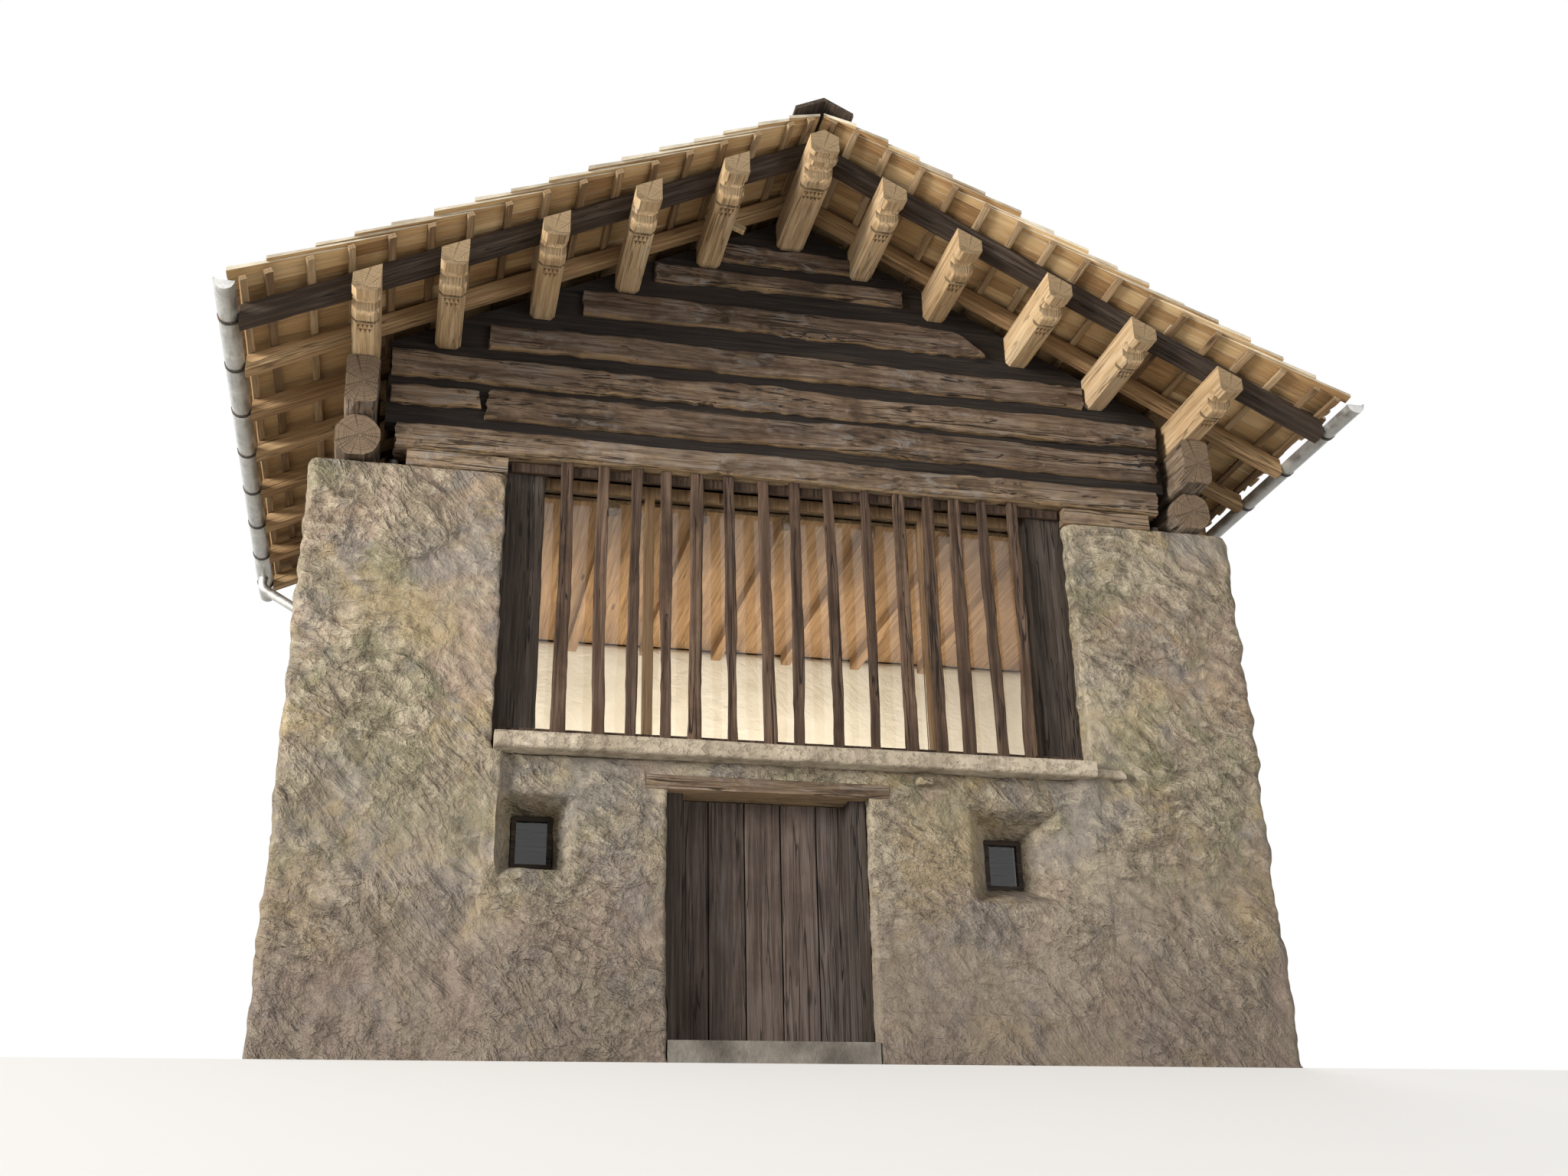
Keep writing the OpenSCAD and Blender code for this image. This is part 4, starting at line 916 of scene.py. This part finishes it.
def mortar_sill():
    """The loft's sill: its nosed section carried along X, its faces wandering by slow swells,
    with a thinner run over the right pier that dies into it."""
    bed = beam((-PIER_IN - 0.01, *SILL_LOW[1:]), (PIER_IN + 0.01, *SILL_HIGH[1:]), 0, 0.028, 0.02, 5,
               trim=(0, 0.002), wave=0.009, fibre=0.003, facet=0.003, cell=0.025)
    height, middle_z = SILL_HIGH.z - SILL_LOW.z, (SILL_LOW.z + SILL_HIGH.z) / 2
    tip_y, back_y = SILL_LOW.y + TONGUE_TIP, FRONT_Y + TONGUE_INTO
    y = (tip_y + back_y) / 2
    tongue = timber((PIER_IN - TONGUE_LAP, y, middle_z - 0.014), (SILL_HIGH.x, y, middle_z - 0.022),
                    box_ring(back_y - tip_y, height - TONGUE_LOWER, 0.026, 0.014), 9, wave=0.010,
                    fibre=0.003, facet=0.004, cell=0.02, ragged=0.03)
    return gather([bed, tongue])


for name, surface, nodes in (
        ("pier_left_cast", pier_cast(-1), ("pier_left",)),
        ("pier_right_cast", pier_cast(1), ("pier_right",)),
        ("walls_cast", wall_cast(), ("left_wall", "right_wall", "rear_wall")),
        ("front_wall_cast", front_wall(),
         ("front_wall_left", "front_wall_right", "front_wall_over_door")),
        ("corbel_stone", corbel_stone(), ())):
    piece(name, surface, "rough_cast", replaces=nodes, sharp=70)
piece("mortar_sill", mortar_sill(), "sill_mortar", replaces=("sill_ledge",), sharp=60)


# Loft front

SLAT_X = [-1.655, -1.389, -1.167, -0.941, -0.740, -0.493, -0.231, -0.015, 0.251, 0.518, 0.779,
          1.001, 1.207, 1.439, 1.655]
SLAT_DEPTH, RAIL_HEIGHT = 0.05, 0.075
SLAT_WIDTHS, SLAT_LEAN, SLAT_BOW, SLAT_TONE = (0.074, 0.100), 0.012, 0.014, 0.05
POST_IN = 1.795
MULLION_X, FRAME_BAR = 1.03, 0.07


def old_slats():
    """Fifteen old slats, each a timber with its own width, bow and tone, its arrises bitten by
    wear, and the two rails that they are nailed to."""
    rng = np.random.default_rng(7)
    parts = []
    y = SLAT_LOW.y + SLAT_DEPTH / 2
    for k, x in enumerate(SLAT_X):
        lean = rng.uniform(-SLAT_LEAN, SLAT_LEAN)
        ring = box_ring(rng.uniform(*SLAT_WIDTHS), SLAT_DEPTH - 0.002, 0.008, 0.014)
        bow, tone = rng.uniform(-SLAT_BOW, SLAT_BOW), rng.uniform(-SLAT_TONE, SLAT_TONE)
        parts.append(timber((x - lean, y, SLAT_LOW.z - 0.012), (x + lean, y, SLAT_HIGH.z + 0.012),
                            ring, 40 + k, wave=0.010, facet=0.004, fibre=0.004, cell=0.026,
                            wander=0.009, bow=bow, tone=tone))
    for z in (SLAT_LOW.z + RAIL_HEIGHT / 2, SLAT_HIGH.z - RAIL_HEIGHT / 2):
        parts.append(beam((SLAT_LOW.x, SLAT_LOW.y + SLAT_DEPTH, z - RAIL_HEIGHT / 2),
                          (SLAT_HIGH.x, SLAT_HIGH.y, z + RAIL_HEIGHT / 2), 0, 0.006, 0.02,
                          round(z * 10), trim=(0.002, 0.002), wave=0.004, tone=-0.05))
    return gather(parts)


def end_posts():
    """The two broad old posts at the sides of the opening, with adze hollows, run 30 mm into
    the piers so that no light shows beside them."""
    parts = []
    for side in (-1, 1):
        left, right = sorted((side * POST_IN, side * (PIER_IN + 0.03)))
        parts.append(beam((left, POST_LOW.y, POST_LOW.z - 0.01), (right, POST_HIGH.y, POST_HIGH.z + 0.01),
                          2, 0.012, 0.03, 90 + side, wave=0.005, facet=0.004, fibre=0.003, cell=0.035,
                          wander=0.006))
    return gather(parts)


def glazed_frame():
    """The frame behind the slats: two rails and four uprights between three lights."""
    low, high, half = FRAME_LOW, FRAME_HIGH, FRAME_BAR / 2
    rail = high.z - GLASS_TOP
    parts = [beam((low.x, low.y, z), (high.x, high.y, z + rail), 0, 0.004, 0.03, 150, wave=0.001)
             for z in (low.z, high.z - rail)]
    for x in (half - high.x, -MULLION_X, MULLION_X, high.x - half):
        parts.append(beam((x - half, low.y, low.z + rail - 0.002), (x + half, high.y, high.z - rail + 0.002),
                          2, 0.004, 0.03, 152, wave=0.001))
    return gather(parts)


piece("old_slats", old_slats(), "old_slat", replaces=("slat_screen",))
piece("end_posts", end_posts(), "post_timber", replaces=("front_posts",))
piece("glazed_frame", glazed_frame(), "glazing_bars", replaces=("window_frame",))


# Gable. Each log: its lowest and highest places, its left and right ends, how ragged these
# are, how far each is cut aslant, and its tone
GABLE_LOGS = [
    (4.43, 4.605, -2.91, -2.265, 0.02, (0, 0.03), 0.05),
    (4.36, 4.612, -2.29, 2.90, 0.07, (0.05, 0), -0.01),
    (4.652, 4.88, -2.92, 2.91, 0.02, (0, 0), 0.03),
    (4.952, 5.17, -2.26, 2.33, 0.03, (0, 0), 0.0),
    (5.322, 5.555, -1.60, 1.56, 0.03, (0, 0.28), -0.03),
    (5.692, 5.875, -1.08, 0.91, 0.05, (0, 0), 0.02),
    (5.927, 6.115, -0.57, 0.59, 0.02, (0, 0), -0.02),
]


SIDE_LOG_X, SIDE_LOG_HALF, LOG_RADIUS, LOG_FLAT = 3.09, 0.115, 0.16, 0.155


def hewn_logs():
    """The gable's logs one over another, each a hewn timber sunk into the wall behind it, the
    second row pieced from two."""
    front, back = BEAM_LOW.y + 0.002, GABLE_FACE + 0.06
    return gather([beam((left, front, low), (right, back, high), 0, 0.042, 0.015, 60 + k, wave=0.014,
                        facet=0.010, fibre=0.004, cell=0.032, ragged=ragged, slant=slant,
                        wander=0.020, tone=tone, pith=(0.03, -0.05))
                   for k, (low, high, left, right, ragged, slant, tone) in enumerate(GABLE_LOGS)])


def hewn_beam():
    """The beam over the loft opening, its arrises worn round, and the pads under its ends."""
    parts = [beam(BEAM_LOW, BEAM_HIGH, 0, 0.04, 0.016, 80, wave=0.011, facet=0.007, fibre=0.004,
                  cell=0.03, ragged=0.03, wander=0.010)]
    for side in (-1, 1):
        left, right = sorted((side * (PIER_IN + 0.01), side * PAD_HIGH.x))
        parts.append(beam((left, *PAD_LOW[1:]), (right, *PAD_HIGH[1:]), 0, 0.012, 0.02, 84 + side,
                          wave=0.005, facet=0.004, fibre=0.003, cell=0.03, tone=0.04))
    return gather(parts)


def side_logs(side):
    """The round log on a side wall, planed where it lies, and the squared one on it that
    carries the outer purlin."""
    x, z = side * SIDE_LOG_X, SIDE_LOW.z + LOG_FLAT
    lower = timber((x, FRONT_Y - 0.03, z), (x, REAR_Y + 0.03, z), round_ring(LOG_RADIUS, LOG_FLAT, 56),
                   100 + side, wave=0.008, facet=0.005, fibre=0.004, cell=0.04, wander=0.010,
                   pith=(0.012, -0.008))
    upper = beam((x - SIDE_LOG_HALF, SIDE_LOW.y, SIDE_LOW.z + 2 * LOG_FLAT),
                 (x + SIDE_LOG_HALF, *SIDE_HIGH[1:]), 1, 0.036, 0.018, 104 + side, wave=0.008,
                 facet=0.006, fibre=0.004, cell=0.04, tone=0.03)
    return gather([lower, upper])


piece("hewn_logs", hewn_logs(), "hewn_log", replaces=("front_gable_logs",))
piece("hewn_beam", hewn_beam(), "lintel_timber", replaces=("lintel_beam", "pier_pads"))
piece("side_logs_left", side_logs(-1), "side_log", replaces=("wall_logs_left",))
piece("side_logs_right", side_logs(1), "side_log", replaces=("wall_logs_right",))


# Purlins, from the left eave to the right one: how far each lies off an even spacing, and how
# much longer its carved head is
PURLIN_GAP = 0.617
PURLIN_JOG = [0, -0.070, -0.030, -0.030, -0.030, 0, -0.060, -0.085, -0.045, -0.040, 0]
HEAD_MORE = [0, 0, 0, 0.070, 0.100, 0.100, -0.040, -0.130, -0.080, -0.060, -0.080]
HEAD_OUT = 0.93
PURLIN_HALF, RIDGE_WIDER = 0.09, 0.015
PURLIN_DEPTH, RIDGE_EXTRA = 0.21, 0.08
CHAMFER = 0.032
FILLET = (0.11, 0.04)
HOLLOW, SCOOP_RADIUS, SCOOP_RISE = 0.09, 0.062, 0.03
NOSE = 0.056
KERF_BACK, KERF = 0.11, (0.03, 0.036)
CHIP_ROWS, CHIP_LENGTH, CHIP_PITCH, CHIP_DEPTH = 2, 0.05, 0.029, 0.015
CHIP_START, CHIP_GAP, FLAT_POINTS = 0.012, 0.006, 25
PEG_FRONT = FRONT_Y - 0.43


def head_profile(end, fillets):
    """Underside of a carved head as (y, rise) points from the end back: the fillets as steps,
    the hollow as an arc, the nose as a quarter round, the kerf as a slot, then plain. Also
    where the chip carving starts."""
    path = []
    for k in range(fillets, 0, -1):
        start = end if k == fillets else end + FILLET[0] / (k + 1)
        path += [(start, k * FILLET[1]), (end + FILLET[0] / k - 0.004, k * FILLET[1])]
    hollow = end + FILLET[0]
    middle = hollow + HOLLOW / 2
    reach = math.asin(min(1, (HOLLOW / 2) / SCOOP_RADIUS))
    for a in np.linspace(-reach, reach, 11):
        path.append((middle + SCOOP_RADIUS * math.sin(a), SCOOP_RISE + SCOOP_RADIUS * math.cos(a)))
    nose = hollow + HOLLOW
    for a in np.linspace(0, math.pi / 2, 9):
        path.append((nose + NOSE * (1 - math.cos(a)), NOSE * (1 - math.sin(a))))
    kerf = nose + KERF_BACK
    path += [(y, 0.0) for y in np.linspace(nose + NOSE + 0.01, kerf, 4)]
    path += [(kerf + 0.002, KERF[1]), (kerf + KERF[0] - 0.002, KERF[1]), (kerf + KERF[0], 0.0)]
    carved = kerf + KERF[0] + CHIP_ROWS * CHIP_LENGTH + 0.03
    path += [(y, 0.0) for y in np.linspace(kerf + KERF[0] + 0.005, carved, 30)]
    path += [(y, 0.0) for y in np.arange(carved + 0.05, PURLIN_REAR - 0.02, 0.06)]
    path.append((PURLIN_REAR, 0.0))
    return np.array(path), kerf + KERF[0]


def chip_depth(x, y, half, start):
    """Depth of the chip carving: in each row a triangle wave across the timber, wide at the
    row's front and closing to a point at its back."""
    depth = np.zeros(np.broadcast(x, y).shape)
    for row in range(CHIP_ROWS):
        along = (y - start - CHIP_START - row * (CHIP_LENGTH + CHIP_GAP)) / CHIP_LENGTH
        across = np.abs(2 * ((x / CHIP_PITCH + 0.5 * row) % 1) - 1)
        inside = np.clip((1 - across) - np.clip(along, 0, 1), 0, 1) * (along > 0) * (along < 1)
        depth += CHIP_DEPTH * np.clip(inside * 3, 0, 1) * (np.abs(x) < half - 0.006)
    return depth


def purlin_low(middle):
    """Height of the underside of a purlin with its middle at that X."""
    return RAFTER_LINE - PURLIN_DEPTH - abs(middle) * ROOF_RISE


def purlin(index):
    """A purlin with its carved head: at each point of the head's profile a ring of the hewn
    section, flat below between two chamfers, upright at the sides and cut to the roof's slope."""
    middle = index * PURLIN_GAP + PURLIN_JOG[index + 5]
    half = PURLIN_HALF + (RIDGE_WIDER if index == 0 else 0)
    low = purlin_low(middle) - (RIDGE_EXTRA if index == 0 else 0)
    path, chips = head_profile(FRONT_Y - HEAD_OUT - HEAD_MORE[index + 5], 2 if index == 0 else 1)
    flat = half - CHAMFER
    ring_x = np.concatenate([np.linspace(-flat, flat, FLAT_POINTS), [half - CHAMFER / 2], np.full(4, half),
                             np.linspace(half, -half, 7)[1:-1], np.full(4, -half),
                             [-half + CHAMFER / 2]])
    rise = np.concatenate([np.zeros(FLAT_POINTS), [CHAMFER / 2], np.full(4, CHAMFER), np.zeros(5),
                           np.full(4, CHAMFER), [CHAMFER / 2]])
    share = np.concatenate([np.zeros(FLAT_POINTS + 1), [0, 0.33, 0.66, 1.0], np.ones(5),
                            [1.0, 0.66, 0.33, 0], [0]])
    top = RAFTER_LINE - 0.0002 - np.abs(middle + ring_x) * ROOF_RISE
    z = (low + path[:, 1:] + rise[None]) * (1 - share) + top * share
    y = np.broadcast_to(path[:, :1], z.shape).copy()
    x = np.broadcast_to(middle + ring_x[None], z.shape).copy()
    carved = chip_depth(ring_x[None] + 0 * y, y, flat, chips) * (np.arange(len(ring_x)) < FLAT_POINTS)
    rings = np.stack([x, y, z + carved], -1)
    sides = np.sign(ring_x) * (np.abs(ring_x) > half - 1e-6)
    outward = np.stack([sides, 0 * ring_x, -1.0 * (share == 0)], -1)
    rings = rings + outward * (0.003 * rough(rings, (0.07, 0.6, 0.07), 70 + index, 3))[..., None]
    rings[..., 0] = np.clip(rings[..., 0], middle - half - 0.002, middle + half + 0.002)
    section = np.stack([ring_x, z[-1] - low - PURLIN_DEPTH / 2], -1)
    # Each purlin's own tone, darkened in the chip carving's notches as painted shade.
    tone_and_notch_shade = 0.03 * math.sin(index * 2.3) - 0.25 * carved / CHIP_DEPTH
    points, quads, tones, across = tube(rings, section, (0.02, 0.03), tone_and_notch_shade)
    return points, quads[:, ::-1], tones, across


def peg():
    """The stub of a peg that slants down out of the purlin left of the ridge."""
    tilt, length, width, height = math.radians(22), 0.095, 0.060, 0.045
    middle = -PURLIN_GAP + PURLIN_JOG[4]
    ahead = np.array([math.cos(tilt), 0, -math.sin(tilt)])
    root = np.array([middle + PURLIN_HALF - 0.002, PEG_FRONT + width / 2, purlin_low(middle) + height])
    root += height / 2 * np.array([math.sin(tilt), 0, math.cos(tilt)])
    return timber(root - 0.03 * ahead, root + length * ahead, box_ring(width, height, 0.005, 0.012), 77,
                  wave=0.003, fibre=0.001, cell=0.012, tone=0.02)


for name, parts, node in (
        ("carved_purlins_left", [purlin(k) for k in range(-5, 0)] + [peg()], "purlins_left"),
        ("carved_purlins_right", [purlin(k) for k in range(1, 6)], "purlins_right"),
        ("carved_ridge_purlin", [purlin(0)], "ridge_purlin")):
    piece(name, gather(parts), "pale_timber", replaces=(node,), sharp=35)


# Rafters and battens

VERGE_Y, VERGE_WIDTH = FRONT_Y - 0.75, 0.15
RAFTER_Y, RAFTER_GAP, RAFTER_WIDTH, RAFTER_COUNT = FRONT_Y - 0.13, 0.62, 0.11, 7
BATTEN_WIDTH, RIDGE_BATTEN, BATTEN_IN = 0.05, 0.060, 0.030


def rafter(side, low_y, width, seed):
    """A rafter from the ridge to the eave, cut plumb at both ends: bottom and top follow the
    slope, RAFTER_LINE and BATTEN_LINE less ROOF_RISE times x."""
    high = BATTEN_LINE - RAFTER_LINE
    thick = high * PITCH_COS
    upright = np.array([side * PITCH_SIN, 0, PITCH_COS])
    feet = [np.array([side * x, low_y + width / 2, RAFTER_LINE - x * ROOF_RISE]) + upright * thick / 2
            for x in (0.001, EAVE_END)]
    plumb = high * PITCH_SIN
    return timber(*feet, box_ring(width - 0.001, thick - 0.001, 0.010, 0.03), seed, wave=0.004,
                  facet=0.003, fibre=0.002, cell=0.09, slant=(-plumb, plumb), wander=0.005,
                  tone=0.05 * math.sin(seed * 1.7))


def split_battens():
    """A batten under the foot of each course and one at the ridge, both slopes: an uneven split
    section laid on the slope, each bowed, its ends sawn at its own length."""
    rng = np.random.default_rng(21)
    parts = []
    feet = [RIDGE_BATTEN] + [k * COURSE - BATTEN_IN for k in range(1, COURSES)] + [EAVE_END - BATTEN_WIDTH]
    width = BATTEN_WIDTH / PITCH_COS - 0.001
    thick = (COAT_LINE - BATTEN_LINE) * PITCH_COS - 0.001
    for side in (-1, 1):
        lay = np.array([[PITCH_COS, side * PITCH_SIN], [-side * PITCH_SIN, PITCH_COS]])
        for k, foot in enumerate(feet):
            x = foot + BATTEN_WIDTH / 2
            z = (BATTEN_LINE + COAT_LINE) / 2 - x * ROOF_RISE
            ring = box_ring(width * rng.uniform(0.9, 1.0), thick, 0.004, 0.04) @ lay
            ends = BATTEN_FRONT + rng.uniform(0, 0.02), BATTEN_REAR - rng.uniform(0, 0.02)
            parts.append(timber((side * x, ends[0], z), (side * x, ends[1], z), ring,
                                200 + 20 * side + k, wave=0.003, fibre=0.002, cell=0.16,
                                bow=rng.uniform(-0.006, 0.006), wander=0.003,
                                tone=rng.uniform(-0.12, 0.12)))
    return gather(parts)


# The front verge rafters take the darker finish, which is painted shade.
piece("verge_rafters_hewn", gather([rafter(side, VERGE_Y, VERGE_WIDTH, 180 + side) for side in (-1, 1)]),
      "shaded_verge_timber", replaces=("verge_rafters",))
piece("rafters_hewn", gather([rafter(side, RAFTER_Y + k * RAFTER_GAP, RAFTER_WIDTH, 160 + 2 * k + side)
                              for side in (-1, 1) for k in range(RAFTER_COUNT)]),
      "rafter_timber", replaces=("rafters",))
piece("split_battens", split_battens(), "batten_timber", replaces=("battens",))


# Shingles

SHINGLE_LAP = 3
SHINGLE_BUTT, SHINGLE_HEAD, COAT_THICK = 0.022, 0.007, 0.072
RIDGE_GAP, SHINGLE_JOINT, EDGE_WANDER = 0.010, 0.002, 0.028
VERGE_SPLAY, VERGE_NEAR = 0.045, 0.03
WIDTHS, LEAST_WIDTH, LEAST_HEAD = (0.08, 0.17), 0.04, 0.012
STOUT, TONES, CUPS, TWIST, SLANT = (0.75, 1.25), (-0.15, 0.15), (0, 0.008), 0.006, 0.014
BUTT_WANDER = 0.045


def shingles(side):
    """Split shingles of one slope, course by course: each a tapered board three courses long,
    its lower end raised on the courses below it, its width, length, tone, cup and twist its
    own. Each course ends at the verges with a board splayed outwards at its lower end."""
    rng = np.random.default_rng(90 + side)
    parts = []
    run_up = SHINGLE_LAP * COURSE
    for course in range(1, COURSES + 1):
        y = COAT_LOW.y + rng.uniform(0, EDGE_WANDER)
        last = COAT_HIGH.y - rng.uniform(0, EDGE_WANDER)
        while y < last - VERGE_NEAR:
            width = min(rng.uniform(*WIDTHS), last - y)
            if last - y - width < LEAST_WIDTH:
                width = last - y
            butt = course * COURSE + RIDGE_GAP - rng.uniform(0, BUTT_WANDER)
            splay = VERGE_SPLAY * ((y < COAT_LOW.y + VERGE_NEAR) - float(y + width == last))
            parts.append((y + SHINGLE_JOINT, y + width - SHINGLE_JOINT, max(butt - run_up, LEAST_HEAD),
                          butt, rng.uniform(*STOUT) + 4 * abs(splay), rng.uniform(*TONES),
                          rng.uniform(*CUPS), rng.uniform(-TWIST, TWIST) - 0.2 * splay,
                          rng.uniform(-SLANT, SLANT), splay))
            y += width
    y0, y1, head, butt, stout, tone, cup, twist, slant, splay = np.array(parts).T[..., None]
    across = np.array([0, 0.5, 1.0])
    y = y0 + (y1 - y0) * across
    y_head = y + splay * np.where(splay > 0, 1 - across, across)
    share = (butt - head) / run_up
    butt_x = np.minimum(butt + slant * (across - 0.5), COURSES * COURSE + RIDGE_GAP)
    head_x = head + 0 * y
    thick = SHINGLE_BUTT * stout
    low_butt = (COAT_THICK - 0.004 - SHINGLE_BUTT) * share + cup * np.abs(across * 2 - 1)
    low_butt = low_butt + twist * (across - 0.5)
    low_head = 0.0008 + 0 * y
    top_head = low_head + SHINGLE_HEAD + (thick - SHINGLE_HEAD) * (1 - share)
    rings = np.stack([np.stack([side * x, place, COAT_LINE - ROOF_RISE * x + h], -1)
                      for x, place, h in ((head_x, y_head, low_head), (butt_x, y, low_butt),
                                          (butt_x, y, low_butt + thick), (head_x, y_head, top_head))], 1)
    faces = [(k * 3 + c, k * 3 + c + 1, (k + 1) % 4 * 3 + c + 1, (k + 1) % 4 * 3 + c)
             for k in range(4) for c in range(2)]
    faces = np.array(faces + [(0, 3, 6, 9), (11, 8, 5, 2)])[:, ::side]
    quads = (faces[None] + 12 * np.arange(len(parts))[:, None, None]).reshape(-1, 4)
    return plain(rings.reshape(-1, 3), quads, np.repeat(tone[:, 0], 12))


for name, side, node in (("shingles_on_left", -1, "shingles_left"),
                         ("shingles_on_right", 1, "shingles_right")):
    piece(name, shingles(side), "shingle_wood", replaces=(node,), sharp=30)


# Door leaf

BOARDS, BOARD_THICK, BOARD_JOINT = 5, 0.050, 0.006
LEDGE_IN, LEDGE_AT, LEDGE_HALF = 0.09, 0.26, 0.059


def boarded_leaf():
    """Five upright boards with open joints, and the two ledges across their back."""
    rng = np.random.default_rng(3)
    width, back = (LEAF_HIGH.x - LEAF_LOW.x) / BOARDS, LEAF_LOW.y + BOARD_THICK
    parts = []
    for k in range(BOARDS):
        x = LEAF_LOW.x + k * width
        parts.append(beam((x, LEAF_LOW.y, LEAF_LOW.z + 0.001), (x + width, back, LEAF_HIGH.z - 0.001),
                          2, 0.005, 0.03, 120 + k, trim=(BOARD_JOINT, 0.001), wave=0.003,
                          fibre=0.0015, cell=0.05, tone=rng.uniform(-0.05, 0.05)))
    for z in (LEAF_LOW.z + LEDGE_AT, LEAF_HIGH.z - LEDGE_AT):
        parts.append(beam((LEAF_LOW.x + LEDGE_IN, back, z - LEDGE_HALF),
                          (LEAF_HIGH.x - LEDGE_IN, LEAF_HIGH.y, z + LEDGE_HALF), 0, 0.004, 0.03,
                          round(140 + 10 * z), wave=0.002, cell=0.05))
    return gather(parts)


piece("boarded_leaf", boarded_leaf(), "door_boards", body="door", replaces=("door_leaf",))


# Floor, camera and light

def pale_floor():
    """Level ground round the building that falls away in front of it, as the photographer's
    standpoint is lower than the threshold: z is minus fall times the distance past the crest."""
    fall, crest, reach = 0.19, FRONT_Y - 0.10, 60.0
    y = np.array([reach, crest + 0.3, crest, crest - 0.25, -reach])
    z = np.where(y < crest, fall * (y - crest), 0.0)
    x = np.array([-reach, reach])
    points = np.stack(np.broadcast_arrays(x[None], y[:, None], z[:, None]), -1).reshape(-1, 3)
    mesh = bpy.data.meshes.new("pale_floor")
    mesh.from_pydata(points.tolist(), [], grid_quads(len(y), 2)[:, ::-1].tolist())
    made = in_scene("pale_floor", mesh)
    f = Finish("floor")
    shown = f.node("ShaderNodeLightPath").outputs["Is Camera Ray"]
    f.set(Base_Color=f.mix(shown, (0.70, 0.69, 0.67), (0.42, 0.415, 0.405)), Roughness=0.9,
          Emission_Color=(1, 0.99, 0.97, 1), Emission_Strength=f.times(shown, 0.42))
    mesh.materials.append(f.material)


CAMERA_AT = (-2.610, -11.802, -1.250)
CAMERA_YAW, CAMERA_PITCH, CAMERA_ROLL = 13.95, 23.49, -1.32
FOCAL_PIXELS, PHOTO_WIDTH, SENSOR = 2097.5, 2048, 36.0


def aimed(name, data, *columns):
    """An object in the scene, given its X, Y and Z directions and its place."""
    made = in_scene(name, data)
    made.matrix_world = Matrix([list(row) for row in np.stack(columns, 1)] + [[0, 0, 0, 1]])
    return made


def photo_camera():
    """A camera turned by yaw from +Y towards +X, pitched up, then rolled about its own line."""
    yaw, pitch, roll = (math.radians(a) for a in (CAMERA_YAW, CAMERA_PITCH, CAMERA_ROLL))
    ahead = np.array([math.sin(yaw) * math.cos(pitch), math.cos(yaw) * math.cos(pitch), math.sin(pitch)])
    level = np.array([math.cos(yaw), -math.sin(yaw), 0])
    above = np.cross(level, ahead)
    right = math.cos(roll) * level + math.sin(roll) * above
    up = -math.sin(roll) * level + math.cos(roll) * above
    data = bpy.data.cameras.new("photo_camera")
    data.sensor_width = SENSOR
    data.lens = FOCAL_PIXELS / PHOTO_WIDTH * SENSOR
    data.clip_end = 300
    bpy.context.scene.camera = aimed("photo_camera", data, right, up, -ahead, np.array(CAMERA_AT))


def soft_light(name, place, target, size, power, colour=(1, 1, 1)):
    """A rectangular light at a place, facing a target, of that width and height."""
    data = bpy.data.lights.new(name, "AREA")
    data.shape, data.size, data.size_y = "RECTANGLE", size[0], size[1]
    data.energy, data.color = power, colour
    back = np.array(place, float) - np.array(target, float)
    back /= np.linalg.norm(back)
    side = np.cross([0, 0, 1], back)
    side /= np.linalg.norm(side)
    made = aimed(name, data, side, np.cross(back, side), back, np.array(place, float))
    made.visible_camera = made.visible_transmission = False


def studio():
    """Even pale world, white where the camera, glass or metal sees it, and soft lights."""
    world = bpy.data.worlds.new("studio")
    bpy.context.scene.world = world
    f = Nodes(world)
    rays = f.node("ShaderNodeLightPath").outputs
    shown = f.sum("MAXIMUM", rays["Is Camera Ray"], rays["Is Glossy Ray"])
    shown = f.sum("MAXIMUM", shown, rays["Is Transmission Ray"])
    even = f.out("ShaderNodeBackground", {"Color": (1.0, 0.98, 0.95, 1), "Strength": 0.42})
    seen = f.out("ShaderNodeBackground", {"Color": (1, 1, 1, 1), "Strength": 1.0})
    mix = f.out("ShaderNodeMixShader", {0: shown, 1: even, 2: seen})
    f.node("ShaderNodeOutputWorld", {"Surface": mix})
    soft_light("key_light", (-26, -14, 7.0), (0, -1, 3.2), (8, 8), 12500, (1.0, 0.97, 0.92))
    soft_light("fill_light", (15, -25, 0.0), (0, 0, 4.2), (11, 7), 1750)
    soft_light("back_light", (10, 24, 16), (0, 0, 3), (12, 12), 2800)
    soft_light("loft_light", (0, 0.2, 2.16), (0, 0.55, 3.2), (4.6, 0.5), 92, (1.0, 0.88, 0.72))


pale_floor()
photo_camera()
studio()
bpy.context.scene.view_settings.view_transform = "Standard"
